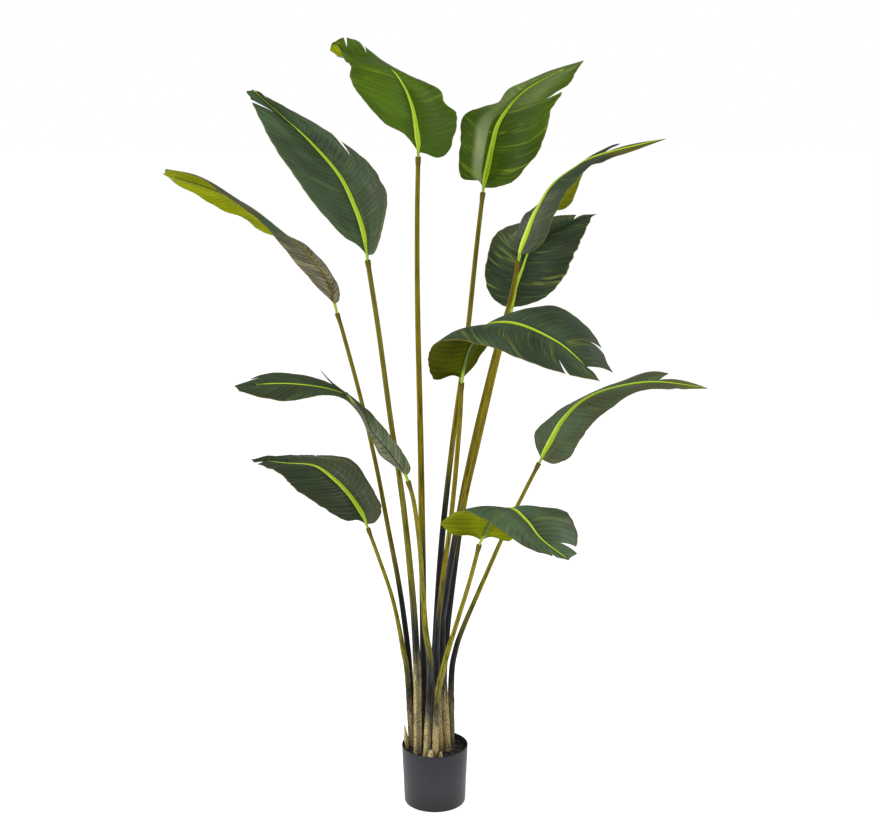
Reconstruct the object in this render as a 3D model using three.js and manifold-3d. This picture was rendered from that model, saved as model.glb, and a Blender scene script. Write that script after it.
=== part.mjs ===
// A bird of paradise plant, about 2 m tall, in a plain round pot.
// Millimetres, +Z up, the front towards -Y, the origin under the middle of the pot.
//
// Eleven stalks stand in plain holes in the soil. Each ends in a split socket, and the round
// green stub of a leaf's rib is plugged into it. The rib runs on below the leaf's blade.
// A blade is drawn by three lines, its midrib and its two edges, whose points face each other
// along the side veins. "left" and "right" are seen on the blade's upper face, tip upwards.

import * as THREE from 'three';
import Module from 'manifold-3d';

const wasm = await Module();
wasm.setup();

// Driving dimensions of the pot and the soil
const POT_HEIGHT = 158;
const POT_RIM_RADIUS = 87.5;
const POT_FOOT_RADIUS = 81;
const POT_WALL = 2.5;
const POT_FLOOR = 3;
const POT_EDGE = 3;
const RIM_ROUND = 0.8;
const SOIL_LEVEL = 143;
const SOIL_CROWN = 4;
const SOIL_EDGE = 6;
const SOIL_SHOULDER = 0.6;
const ROUND_STEPS = 40;

// A quarter circle's middle lies this share of its radius inside the corner that it rounds.
const ROUND_MIDDLE = 0.29;

// Clearances
const SEAT_GAP = 0.3;
const HOLE_GAP = 0.35;
const STUB_GAP = 0.6;
const RIB_GAP = 0.7;
const BASE_GAP = 1.3;

// Stalks and their sockets. A stalk starts to widen at SOCKET_TAPER depths below its top.
const HOLE_DEPTH = 62;
const HOLE_RISE = 12;
const STALK_SIDES = 8;
const STALK_STEPS = 11;
const SOCKET_DEPTH = 12;
const SOCKET_TAPER = 1.6;
const SOCKET_FLARE = 1.2;
const STUB_RADIUS = 3.4;
const STUB_RISE = 1;

// Blades. The ripple of an edge fades where a half is narrower than NARROW_HALF, and the
// right half's ripple runs ahead of the left one's by RIPPLE_LEAD radians.
const BLADE_THICKNESS = 1.2;
const VEIN_STEPS = 13;
const BLADE_ROWS = [0, 0.07, 0.3, 0.55, 0.8, 1];
const NARROW_HALF = 80;
const RIPPLE_LEAD = 2;
const SLIVER_RADII = [3.2, 2.4, 1.6, 0.8];
const SLIVER_SIDES = 4;

// Ribs. The base of a blade has no width, so the rib's place there is taken from just above.
const RIB_SIDES = 6;
const RIB_TIP_RADIUS = 0.9;
const JUST_ABOVE_BASE = 0.02;
const SHARPEST_FOLD = 0.4;

// Finishes
const POT_PLASTIC = { color: 0x43474a, roughness: 0.55 };
const DARK_SOIL = { color: 0x1f1c17, roughness: 0.95 };
const TAN_BARK = { color: 0x93804f, roughness: 0.9 };
const OLIVE_STALK = { color: 0x6b651e, roughness: 0.5 };
const GREEN_RIB = { color: 0x7d9a2c, roughness: 0.45 };
const DARK_LEAF = { color: 0x3e5238, roughness: 0.5 };
const BRIGHT_LEAF = { color: 0x4c6f25, roughness: 0.5 };

// The leaves, their points set by hand to a few millimetres.
// stalkRadius: at the foot and at the top. stalk: its middle line, from the soil to its socket.
// midrib, left, right: points from the base to the tip. The edges start beside the midrib's
// second point, and end beside its last point or the one before it.
// bow: how far each half bulges, as a share of its width. wave: the height of the edge's
// ripple, and ripples: how many of them lie along the edge.
// tears: a tear at "at" along the blade reaches "reach" of the half's width inwards, leans
// towards the tip by "lean" and opens by "gap", both as shares of the blade's length.
// sliver: a torn strip that starts "along" the blade and "out" across it, and follows a line.
const LEAVES = [
  {
    finish: BRIGHT_LEAF,
    stalkRadius: [8.5, 5.2],
    stalk: [[-29, 5, 143], [-31, 15, 550], [-36, 30, 950], [-43, 42, 1300], [-44, 54, 1520],
      [-41, 62, 1695]],
    midrib: [[-40, 60, 1707], [-42, 60, 1730], [-45, 65, 1760], [-55, 75, 1815], [-75, 85, 1865],
      [-110, 100, 1910], [-170, 110, 1940], [-230, 100, 1940], [-260, 90, 1955]],
    left: [[-75, 45, 1750], [-130, 35, 1785], [-190, 30, 1850], [-205, 40, 1890],
      [-210, 60, 1915], [-220, 75, 1930], [-240, 70, 1965]],
    right: [[10, 45, 1695], [50, 35, 1740], [55, 40, 1795], [15, 60, 1865], [-75, 140, 1900],
      [-185, 150, 1975], [-235, 120, 1985]],
    bow: 0.08,
    wave: 5,
    ripples: 3.5,
    tears: [
      { side: 'right', at: 0.69, reach: 0.25, lean: 0.01, gap: 0.035 },
      { side: 'right', at: 0.8, reach: 0.3, lean: 0.01, gap: 0.03 },
    ],
  },
  {
    finish: BRIGHT_LEAF,
    stalkRadius: [9, 5.4],
    stalk: [[-8, 25, 143], [-4, 45, 430], [18, 80, 700], [50, 130, 975], [85, 175, 1225],
      [108, 215, 1440], [127, 250, 1600]],
    midrib: [[128, 250, 1612], [132, 250, 1635], [140, 255, 1670], [150, 260, 1720],
      [170, 270, 1785], [225, 285, 1855], [300, 290, 1900], [390, 275, 1940]],
    left: [[95, 230, 1630], [70, 210, 1660], [70, 205, 1745], [95, 215, 1810],
      [190, 250, 1860], [280, 265, 1910]],
    right: [[165, 230, 1615], [220, 210, 1640], [275, 210, 1715], [300, 225, 1800],
      [335, 250, 1860], [365, 270, 1905]],
    bow: 0.08,
    wave: 5,
    ripples: 3,
    tears: [{ side: 'right', at: 0.66, reach: 0.25, lean: 0.05, gap: 0.05 }],
  },
  {
    finish: DARK_LEAF,
    stalkRadius: [10, 5.4],
    stalk: [[-45, -30, 143], [-46, -35, 355], [-56, -42, 570], [-80, -50, 830],
      [-110, -58, 1050], [-138, -66, 1275], [-163, -75, 1450]],
    midrib: [[-164, -75, 1462], [-167, -74, 1482], [-172, -70, 1515], [-190, -60, 1570],
      [-230, -40, 1650], [-300, -20, 1730], [-380, 0, 1800], [-455, 15, 1860]],
    left: [[-190, -90, 1490], [-225, -95, 1515], [-285, -95, 1580], [-345, -80, 1670],
      [-405, -50, 1750], [-445, -25, 1830]],
    right: [[-145, -90, 1470], [-125, -95, 1520], [-115, -95, 1600], [-155, -70, 1680],
      [-260, -35, 1760], [-380, -10, 1825]],
    bow: 0.07,
    wave: 4,
    ripples: 3,
    tears: [
      { side: 'left', at: 0.86, reach: 0.5, lean: 0.03, gap: 0.02 },
      { side: 'right', at: 0.62, reach: 0.25, lean: 0.045, gap: 0.02 },
      { side: 'right', at: 0.9, reach: 0.2, lean: 0.02, gap: 0.02 },
    ],
  },
  {
    finish: DARK_LEAF,
    stalkRadius: [7, 4.8],
    stalk: [[-48, 42, 143], [-64, 55, 290], [-72, 68, 395], [-94, 98, 555], [-125, 130, 715],
      [-155, 158, 870], [-198, 195, 1055], [-245, 230, 1225], [-262, 240, 1280]],
    midrib: [[-268, 240, 1305], [-275, 240, 1335], [-300, 240, 1390], [-350, 235, 1450],
      [-420, 230, 1510], [-490, 220, 1565], [-580, 205, 1610], [-705, 190, 1650]],
    left: [[-295, 215, 1335], [-335, 195, 1385], [-400, 180, 1460], [-450, 170, 1525],
      [-505, 165, 1565], [-590, 150, 1630]],
    right: [[-255, 225, 1320], [-270, 255, 1355], [-350, 295, 1410], [-450, 290, 1495],
      [-510, 270, 1530], [-605, 250, 1580]],
    bow: 0.1,
    wave: 5,
    ripples: 3,
    tears: [{ side: 'right', at: 0.92, reach: 0.5, lean: 0.01, gap: 0.03 }],
  },
  {
    finish: DARK_LEAF,
    stalkRadius: [8.5, 5.2],
    stalk: [[35, -15, 143], [23, -32, 460], [31, -44, 580], [64, -60, 820], [98, -72, 1000],
      [148, -88, 1230], [183, -103, 1360], [202, -120, 1452]],
    midrib: [[204, -122, 1466], [209, -126, 1483], [220, -133, 1515], [240, -142, 1570],
      [275, -148, 1630], [325, -150, 1670], [385, -145, 1700], [545, -135, 1740]],
    left: [[187, -114, 1490], [195, -105, 1510], [225, -90, 1565], [330, -75, 1590],
      [355, -90, 1665], [415, -120, 1720]],
    right: [[230, -145, 1475], [260, -165, 1505], [285, -185, 1570], [310, -200, 1625],
      [350, -195, 1665], [400, -175, 1690]],
    bow: 0.08,
    wave: 4,
    ripples: 2.5,
    tears: [{ side: 'left', at: 0.87, reach: 0.6, lean: 0.02, gap: 0.04 }],
  },
  {
    finish: DARK_LEAF,
    stalkRadius: [8.5, 5.2],
    stalk: [[31, 30, 143], [36, 56, 425], [46, 72, 540], [78, 107, 775], [118, 137, 960],
      [172, 176, 1190], [202, 194, 1288]],
    midrib: [[205, 195, 1302], [210, 196, 1322], [218, 200, 1355], [230, 208, 1400],
      [250, 218, 1450], [293, 228, 1490], [350, 232, 1520], [425, 215, 1545]],
    left: [[172, 175, 1312], [140, 160, 1350], [130, 155, 1415], [155, 172, 1490],
      [220, 215, 1520], [310, 240, 1530]],
    right: [[242, 180, 1310], [295, 166, 1335], [340, 165, 1390], [368, 175, 1450],
      [392, 192, 1495], [408, 208, 1532]],
    bow: 0.07,
    wave: 4,
    ripples: 3,
    tears: [{ side: 'left', at: 0.9, reach: 0.6, lean: 0.02, gap: 0.03 }],
  },
  {
    finish: DARK_LEAF,
    stalkRadius: [7.5, 5],
    stalk: [[14, -25, 143], [7, -49, 370], [10, -67, 490], [24, -91, 635], [43, -131, 835],
      [60, -173, 1050], [65, -198, 1168]],
    midrib: [[66, -200, 1180], [68, -204, 1200], [72, -212, 1225], [85, -226, 1265],
      [118, -242, 1310], [190, -262, 1318], [285, -284, 1278], [365, -302, 1212]],
    left: [[78, -197, 1190], [95, -192, 1210], [128, -185, 1255], [180, -184, 1320],
      [275, -194, 1350], [370, -220, 1295], [417, -272, 1205]],
    right: [[40, -220, 1190], [0, -248, 1185], [-13, -272, 1240], [16, -295, 1283],
      [150, -318, 1265], [267, -336, 1222], [378, -328, 1192]],
    bow: 0.1,
    wave: 4,
    ripples: 3,
    tears: [
      { side: 'right', at: 0.84, reach: 0.45, lean: 0.02, gap: 0.05 },
      { side: 'left', at: 0.86, reach: 0.4, lean: 0.02, gap: 0.04 },
    ],
  },
  {
    finish: DARK_LEAF,
    stalkRadius: [7, 4.8],
    stalk: [[44, 14, 143], [44, 30, 330], [55, 41, 405], [77, 53, 468], [130, 79, 587],
      [180, 104, 697], [222, 124, 783], [278, 148, 890]],
    midrib: [[284, 150, 901], [293, 150, 920], [312, 152, 955], [340, 156, 1005],
      [390, 164, 1055], [465, 176, 1085], [585, 195, 1100], [735, 215, 1080]],
    left: [[270, 165, 935], [270, 182, 970], [328, 202, 1017], [412, 220, 1060],
      [495, 225, 1095], [612, 220, 1120]],
    right: [[313, 130, 893], [355, 116, 912], [388, 110, 968], [438, 112, 1030],
      [525, 135, 1080], [630, 175, 1085]],
    bow: 0.08,
    wave: 4,
    ripples: 2.5,
    tears: [{ side: 'left', at: 0.87, reach: 0.6, lean: 0.02, gap: 0.04 }],
  },
  {
    finish: DARK_LEAF,
    stalkRadius: [7.5, 4.8],
    stalk: [[-22, -55, 143], [-12, -84, 398], [-23, -107, 515], [-30, -131, 630],
      [-37, -160, 755], [-50, -187, 870], [-64, -202, 928]],
    midrib: [[-68, -203, 940], [-82, -205, 962], [-112, -210, 1005], [-150, -215, 1055],
      [-176, -220, 1107], [-225, -230, 1150], [-335, -240, 1172], [-470, -250, 1170]],
    left: [[-88, -188, 957], [-128, -170, 983], [-152, -154, 1030], [-185, -172, 1094],
      [-240, -275, 1147], [-353, -293, 1147]],
    right: [[-58, -220, 966], [-83, -240, 1020], [-117, -255, 1070], [-158, -182, 1118],
      [-238, -202, 1168], [-355, -200, 1186]],
    bow: 0.08,
    wave: 3,
    ripples: 2.5,
    tears: [{ side: 'right', at: 0.9, reach: 0.5, lean: 0.02, gap: 0.04 }],
    sliver: {
      side: 'right',
      along: 0.63,
      out: 0.9,
      line: [[-212, -234, 1150], [-245, -224, 1175], [-272, -218, 1205]],
    },
  },
  {
    finish: DARK_LEAF,
    stalkRadius: [6, 4.6],
    stalk: [[-62, 17, 143], [-74, 36, 340], [-85, 45, 405], [-98, 55, 478], [-117, 68, 555],
      [-146, 84, 638], [-178, 100, 724]],
    midrib: [[-182, 100, 735], [-187, 100, 750], [-200, 102, 775], [-227, 106, 814],
      [-270, 115, 855], [-320, 124, 887], [-400, 135, 892], [-490, 145, 900]],
    left: [[-205, 85, 750], [-238, 65, 756], [-300, 50, 796], [-358, 45, 841],
      [-400, 60, 876], [-440, 95, 890]],
    right: [[-156, 88, 745], [-140, 85, 784], [-160, 90, 827], [-207, 125, 886],
      [-295, 168, 903], [-395, 170, 907]],
    bow: 0.08,
    wave: 3,
    ripples: 3,
    tears: [
      { side: 'right', at: 0.72, reach: 0.15, lean: 0.01, gap: 0.02 },
      { side: 'left', at: 0.92, reach: 0.7, lean: 0.01, gap: 0.03 },
    ],
  },
  {
    finish: DARK_LEAF,
    stalkRadius: [7, 4.8],
    stalk: [[0, -55, 143], [6, -90, 318], [21, -115, 410], [34, -134, 470], [50, -153, 532],
      [80, -195, 650], [96, -219, 720], [108, -240, 779]],
    midrib: [[113, -244, 792], [120, -250, 810], [127, -258, 830], [144, -272, 858],
      [181, -288, 882], [218, -305, 855], [252, -322, 815], [315, -336, 770]],
    left: [[138, -235, 797], [185, -222, 788], [210, -205, 830], [264, -216, 865],
      [326, -238, 850], [340, -278, 798]],
    right: [[82, -266, 811], [37, -288, 820], [18, -306, 856], [65, -332, 888],
      [147, -362, 856], [225, -372, 808]],
    bow: 0.1,
    wave: 4,
    ripples: 3,
    tears: [
      { side: 'left', at: 0.88, reach: 0.6, lean: 0.01, gap: 0.05 },
      { side: 'right', at: 0.93, reach: 0.3, lean: 0.01, gap: 0.02 },
    ],
  },
];

// Cut husks at the foot of the stalks: the middle line, and the radii at its points.
const HUSKS = [
  { name: 'husk_left', line: [[-72, 4, 118], [-76, 4, 170], [-80, 4, 195]], radii: [5, 5, 1.2] },
  { name: 'husk_front', line: [[-10, -74, 118], [-11, -75, 156], [-11, -75, 170]], radii: [7, 8, 4] },
  { name: 'husk_right', line: [[14, -64, 118], [16, -65, 150], [15, -65, 164]], radii: [5, 5, 2.5] },
];

const vector = (point) => new THREE.Vector3(...point);

// A smooth line through hand-set points. at(0) is its first point and at(1) its last.
function smoothLine(points) {
  const curve = new THREE.CatmullRomCurve3(points.map(vector), false, 'catmullrom', 0.5);
  return {
    at: (share) => curve.getPoint(share),
    heading: (share) => curve.getTangent(share),
  };
}

// A closed mesh's volume tells which way its faces point. They are turned to point outwards.
function closedGeometry(points, faces) {
  let volume = 0;
  for (const [a, b, c] of faces) {
    volume += points[a].dot(new THREE.Vector3().crossVectors(points[b], points[c])) / 6;
  }
  const outward = volume > 0 ? faces : faces.map(([a, b, c]) => [a, c, b]);
  const geometry = new THREE.BufferGeometry();
  geometry.setAttribute('position', new THREE.Float32BufferAttribute(
    points.flatMap((point) => point.toArray()), 3));
  geometry.setIndex(outward.flat());
  return geometry;
}

// Rings of points skinned one after the other, with a fan over each end
function skinRings(rings) {
  const sides = rings[0].length;
  const points = rings.flat();
  const faces = [];
  for (let ring = 0; ring + 1 < rings.length; ring += 1) {
    for (let side = 0; side < sides; side += 1) {
      const a = ring * sides + side;
      const b = ring * sides + (side + 1) % sides;
      faces.push([a, b, b + sides], [a, b + sides, a + sides]);
    }
  }
  const last = (rings.length - 1) * sides;
  const middle = (ring) => ring.reduce((sum, point) => sum.add(point), new THREE.Vector3())
    .divideScalar(sides);
  const start = points.push(middle(rings[0])) - 1;
  const end = points.push(middle(rings[rings.length - 1])) - 1;
  for (let side = 0; side < sides; side += 1) {
    const next = (side + 1) % sides;
    faces.push([start, next, side], [end, last + side, last + next]);
  }
  return closedGeometry(points, faces);
}

// A ring of points round a centre, square to its heading
function ringAt(centre, heading, radius, sides) {
  const across = new THREE.Vector3(0, 1, 0).cross(heading).normalize();
  const along = new THREE.Vector3().crossVectors(heading, across).normalize();
  return Array.from({ length: sides }, (_, side) => {
    const angle = (side / sides) * 2 * Math.PI;
    return centre.clone()
      .addScaledVector(across, radius * Math.cos(angle))
      .addScaledVector(along, radius * Math.sin(angle));
  });
}

// The heading of a path at one of its points, from its neighbours
function pathHeading(path, at) {
  const from = path[Math.max(0, at - 1)];
  const to = path[Math.min(path.length - 1, at + 1)];
  return to.clone().sub(from).normalize();
}

// Manifold solids, for cutting and joining
function solidOf(geometry) {
  return new wasm.Manifold(new wasm.Mesh({
    numProp: 3,
    vertProperties: new Float32Array(geometry.attributes.position.array),
    triVerts: new Uint32Array(geometry.index.array),
  }));
}

function geometryOf(solid) {
  const { vertProperties, triVerts, numProp } = solid.getMesh();
  const points = [];
  for (let at = 0; at < vertProperties.length; at += numProp) {
    points.push(new THREE.Vector3(...vertProperties.slice(at, at + 3)));
  }
  const faces = [];
  for (let at = 0; at < triVerts.length; at += 3) {
    faces.push([...triVerts.slice(at, at + 3)]);
  }
  return closedGeometry(points, faces);
}

// Stalks: a tapered rod with a cup in its top, standing in a hole in the soil
function stalkLine(leaf) {
  const [foot, next] = leaf.stalk.map(vector);
  const down = foot.clone().sub(next).normalize();
  const root = foot.clone().addScaledVector(down, HOLE_DEPTH);
  return { root, line: smoothLine(leaf.stalk) };
}

function stalkGeometry(leaf) {
  const { root, line } = stalkLine(leaf);
  const [footRadius, topRadius] = leaf.stalkRadius;
  const rings = [ringAt(root, line.heading(0), footRadius, STALK_SIDES)];
  for (let step = 0; step < STALK_STEPS; step += 1) {
    const share = step / STALK_STEPS;
    const radius = footRadius + (topRadius - footRadius) * Math.sqrt(share);
    rings.push(ringAt(line.at(share), line.heading(share), radius, STALK_SIDES));
  }
  const top = line.at(1);
  const heading = line.heading(1);
  const lip = topRadius + SOCKET_FLARE;
  const bore = STUB_RADIUS + STUB_GAP;
  const below = (depth) => top.clone().addScaledVector(heading, -depth);
  rings.push(ringAt(below(SOCKET_DEPTH * SOCKET_TAPER), heading, topRadius, STALK_SIDES));
  rings.push(ringAt(below(SOCKET_DEPTH), heading, lip, STALK_SIDES));
  rings.push(ringAt(top, heading, lip, STALK_SIDES));
  rings.push(ringAt(top, heading, bore, STALK_SIDES));
  rings.push(ringAt(below(SOCKET_DEPTH), heading, bore, STALK_SIDES));
  return skinRings(rings);
}

// The hole that a stalk stands in, a little wider than its foot
function stalkHole(leaf) {
  const { root, line } = stalkLine(leaf);
  const radius = leaf.stalkRadius[0] + HOLE_GAP;
  const heading = line.heading(0);
  const low = root.clone().addScaledVector(heading, -HOLE_GAP);
  const high = line.at(0).addScaledVector(heading, HOLE_RISE);
  return skinRings([low, high].map((centre) => ringAt(centre, heading, radius, STALK_SIDES)));
}

// The three lines of a blade. An edge that stops short of the tip runs in to it.
function bladeLines(leaf) {
  const tip = leaf.midrib[leaf.midrib.length - 1];
  const edge = (points) => {
    const whole = [leaf.midrib[0], ...points];
    return smoothLine(whole.length < leaf.midrib.length ? [...whole, tip] : whole);
  };
  return { midrib: smoothLine(leaf.midrib), left: edge(leaf.left), right: edge(leaf.right) };
}

// The direction square to one half of the blade, on its upper face
function halfFacing(lines, side, along) {
  const across = lines[side].at(along).sub(lines.midrib.at(along));
  const facing = across.cross(lines.midrib.heading(along)).normalize();
  return side === 'left' ? facing.negate() : facing;
}

// A point on one half of the blade: "along" runs from base to tip, "out" from midrib to edge.
function bladePoint(leaf, lines, side, along, out) {
  const root = lines.midrib.at(along);
  const across = lines[side].at(along).sub(root);
  const width = across.length();
  const face = halfFacing(lines, side, along);
  const lead = side === 'left' ? 0 : RIPPLE_LEAD;
  const ripple = Math.sin(2 * Math.PI * leaf.ripples * along + lead) * Math.min(1, width / NARROW_HALF);
  const lift = leaf.bow * width * Math.sin(Math.PI * out) + leaf.wave * ripple * out ** 2;
  return root.addScaledVector(across, out).addScaledVector(face, lift);
}

// Places along the blade where its veins leave the midrib. Each tear runs along one of them.
function veinPlaces(leaf) {
  const places = Array.from({ length: VEIN_STEPS + 1 }, (_, step) => step / VEIN_STEPS);
  for (const tear of leaf.tears) {
    places[Math.round(tear.at * VEIN_STEPS)] = tear.at;
  }
  return places;
}

// How far a vein is pushed along the blade by the tears on its side, at one distance out.
// A torn vein has a near lip, "before", and a far lip, "after".
function veinShift(leaf, side, place, out) {
  const opened = (tear) => Math.max(0, (out - 1 + tear.reach) / tear.reach);
  const stops = leaf.tears.filter((tear) => tear.side === side)
    .map((tear) => ({
      at: tear.at,
      before: tear.lean * opened(tear),
      after: (tear.lean + tear.gap) * opened(tear),
    }))
    .concat({ at: 0, before: 0, after: 0 }, { at: 1, before: 0, after: 0 })
    .sort((one, other) => one.at - other.at);
  const torn = stops.find((stop) => stop.at === place);
  if (torn) {
    return torn;
  }
  const next = stops.findIndex((stop) => stop.at > place);
  const [low, high] = [stops[next - 1], stops[next]];
  const share = (place - low.at) / (high.at - low.at);
  const shift = low.after + (high.before - low.after) * share;
  return { before: shift, after: shift };
}

// The blade as a thin sheet of triangles. Points that meet are one point.
function bladeSheet(leaf) {
  const lines = bladeLines(leaf);
  const places = veinPlaces(leaf);
  const points = [];
  const known = new Map();
  const faces = [];
  const corner = (side, vein, lip, row) => {
    const out = BLADE_ROWS[row];
    const along = places[vein] + veinShift(leaf, side, places[vein], out)[lip];
    const point = bladePoint(leaf, lines, side, along, out);
    const key = point.toArray().map((value) => value.toFixed(2)).join(' ');
    if (!known.has(key)) {
      known.set(key, points.push(point) - 1);
    }
    return known.get(key);
  };
  const addFace = (a, b, c) => {
    if (a !== b && b !== c && c !== a) {
      faces.push([a, b, c]);
    }
  };
  for (const side of ['left', 'right']) {
    for (let vein = 0; vein < VEIN_STEPS; vein += 1) {
      for (let row = 0; row + 1 < BLADE_ROWS.length; row += 1) {
        const a = corner(side, vein, 'after', row);
        const b = corner(side, vein, 'after', row + 1);
        const c = corner(side, vein + 1, 'before', row + 1);
        const d = corner(side, vein + 1, 'before', row);
        if (side === 'right') {
          addFace(a, b, c);
          addFace(a, c, d);
        } else {
          addFace(a, c, b);
          addFace(a, d, c);
        }
      }
    }
  }
  const spine = places.map((_, vein) => corner('left', vein, 'before', 0));
  return { points, faces, spine };
}

// The direction square to the sheet at each of its points
function sheetNormals({ points, faces }) {
  const normals = points.map(() => new THREE.Vector3());
  for (const face of faces) {
    const [a, b, c] = face.map((at) => points[at]);
    const normal = new THREE.Vector3().crossVectors(b.clone().sub(a), c.clone().sub(a));
    face.forEach((at) => normals[at].add(normal));
  }
  return normals.map((normal) => normal.normalize());
}

// A sheet given its thickness: both faces are split into the same triangles.
function thickSheet(sheet) {
  const normals = sheetNormals(sheet);
  const count = sheet.points.length;
  const offset = (share) => sheet.points.map(
    (point, at) => point.clone().addScaledVector(normals[at], share * BLADE_THICKNESS));
  const points = [...offset(0.5), ...offset(-0.5)];
  const faces = [];
  const edges = new Set(sheet.faces.flatMap(([a, b, c]) => [`${a} ${b}`, `${b} ${c}`, `${c} ${a}`]));
  for (const [a, b, c] of sheet.faces) {
    faces.push([a, b, c], [a + count, c + count, b + count]);
    for (const [from, to] of [[a, b], [b, c], [c, a]]) {
      if (!edges.has(`${to} ${from}`)) {
        faces.push([to, from, from + count], [to, from + count, to + count]);
      }
    }
  }
  return closedGeometry(points, faces);
}

// A torn strip that hangs on to the blade by its root and ends in a point
function sliverSolid(leaf) {
  const { side, along, out, line } = leaf.sliver;
  const root = bladePoint(leaf, bladeLines(leaf), side, along, out);
  const curve = smoothLine([root.toArray(), ...line]);
  const rings = SLIVER_RADII.map((radius, at) => {
    const share = at / (SLIVER_RADII.length - 1);
    return ringAt(curve.at(share), curve.heading(share), radius, SLIVER_SIDES);
  });
  return solidOf(skinRings(rings));
}

function bladeGeometry(leaf) {
  const blade = thickSheet(bladeSheet(leaf));
  if (!leaf.sliver) {
    return blade;
  }
  return geometryOf(solidOf(blade).add(sliverSolid(leaf)));
}

// How a half of the blade leaves the midrib: its way out, and the direction square to it
function halfSlope(leaf, lines, side, along) {
  const root = lines.midrib.at(along);
  const out = bladePoint(leaf, lines, side, along, BLADE_ROWS[1]).sub(root).normalize();
  const facing = out.clone().cross(lines.midrib.heading(along)).normalize();
  return { out, facing: side === 'left' ? facing.negate() : facing };
}

// Ribs: a round rod from the stalk's socket, on below the blade, and thinning to its tip.
// Where the halves hang down beside it, it lies deeper, so that it touches neither.
function ribGeometry(leaf) {
  const sheet = bladeSheet(leaf);
  const lines = bladeLines(leaf);
  const places = veinPlaces(leaf);
  const stalk = smoothLine(leaf.stalk);
  const stub = (rise) => stalk.at(1).addScaledVector(stalk.heading(1), rise);
  const path = [stub(SEAT_GAP - SOCKET_DEPTH), stub(STUB_RISE)];
  const radii = [STUB_RADIUS, STUB_RADIUS];
  for (let vein = 0; vein < VEIN_STEPS; vein += 1) {
    const radius = STUB_RADIUS + (RIB_TIP_RADIUS - STUB_RADIUS) * (vein / VEIN_STEPS);
    const place = Math.max(places[vein], JUST_ABOVE_BASE);
    const [left, right] = ['left', 'right'].map((side) => halfSlope(leaf, lines, side, place));
    const up = left.facing.clone().add(right.facing).normalize();
    const hanging = up.dot(left.out) + up.dot(right.out) < 0;
    const seat = BLADE_THICKNESS / 2 + radius + (vein === 0 ? BASE_GAP : RIB_GAP);
    const drop = hanging ? seat / Math.max(SHARPEST_FOLD, up.dot(left.facing)) : seat;
    path.push(sheet.points[sheet.spine[vein]].clone().addScaledVector(up, -drop));
    radii.push(radius);
  }
  return skinRings(path.map(
    (centre, at) => ringAt(centre, pathHeading(path, at), radii[at], RIB_SIDES)));
}

// A profile of radii and heights, turned round the pot's middle
function turned(profile) {
  const lathe = new THREE.LatheGeometry(
    profile.map(([radius, height]) => new THREE.Vector2(radius, height)), ROUND_STEPS);
  lathe.rotateX(Math.PI / 2);
  const points = [];
  const known = new Map();
  const source = lathe.attributes.position;
  const index = Array.from({ length: source.count }, (_, at) => {
    const point = new THREE.Vector3().fromBufferAttribute(source, at);
    const key = point.toArray().map((value) => value.toFixed(3)).join(' ').replaceAll('-0.000', '0.000');
    if (!known.has(key)) {
      known.set(key, points.push(point) - 1);
    }
    return known.get(key);
  });
  const faces = [];
  for (let at = 0; at < lathe.index.count; at += 3) {
    const [a, b, c] = [0, 1, 2].map((step) => index[lathe.index.getX(at + step)]);
    if (a !== b && b !== c && c !== a) {
      faces.push([a, b, c]);
    }
  }
  return closedGeometry(points, faces);
}

// The pot's outside radius at a height
function potRadius(height) {
  return POT_FOOT_RADIUS + (POT_RIM_RADIUS - POT_FOOT_RADIUS) * (height / POT_HEIGHT);
}

function potGeometry() {
  return turned([
    [0, 0],
    [POT_FOOT_RADIUS - POT_EDGE, 0],
    [POT_FOOT_RADIUS - POT_EDGE * ROUND_MIDDLE, POT_EDGE * ROUND_MIDDLE],
    [potRadius(POT_EDGE), POT_EDGE],
    [POT_RIM_RADIUS, POT_HEIGHT - RIM_ROUND],
    [POT_RIM_RADIUS - RIM_ROUND, POT_HEIGHT],
    [POT_RIM_RADIUS - POT_WALL + RIM_ROUND, POT_HEIGHT],
    [POT_RIM_RADIUS - POT_WALL, POT_HEIGHT - RIM_ROUND],
    [potRadius(POT_FLOOR) - POT_WALL, POT_FLOOR],
    [0, POT_FLOOR],
  ]);
}

function soilGeometry() {
  const inside = (height) => potRadius(height) - POT_WALL - SEAT_GAP;
  const bottom = POT_FLOOR + SEAT_GAP;
  let soil = solidOf(turned([
    [0, bottom],
    [inside(bottom), bottom],
    [inside(SOIL_LEVEL), SOIL_LEVEL - 1],
    [inside(SOIL_LEVEL) - SOIL_EDGE, SOIL_LEVEL],
    [inside(SOIL_LEVEL) * SOIL_SHOULDER, SOIL_LEVEL + SOIL_CROWN * SOIL_SHOULDER],
    [0, SOIL_LEVEL + SOIL_CROWN],
  ]));
  for (const leaf of LEAVES) {
    soil = soil.subtract(solidOf(stalkHole(leaf)));
  }
  for (const husk of HUSKS) {
    soil = soil.subtract(solidOf(huskGeometry(husk, HOLE_GAP)));
  }
  return geometryOf(soil);
}

// Husks, or with room round them the holes that they stand in
function huskGeometry(husk, room = 0) {
  const line = husk.line.map(vector);
  return skinRings(line.map((centre, at) => {
    const heading = pathHeading(line, at);
    const sunk = at === 0 ? centre.clone().addScaledVector(heading, -room) : centre;
    return ringAt(sunk, heading, husk.radii[at] + room, STALK_SIDES);
  }));
}

const plant = new THREE.Group();

function addPiece(name, geometry, finish) {
  const mesh = new THREE.Mesh(geometry, new THREE.MeshStandardMaterial({ ...finish, metalness: 0 }));
  mesh.name = name;
  plant.add(mesh);
}

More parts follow.
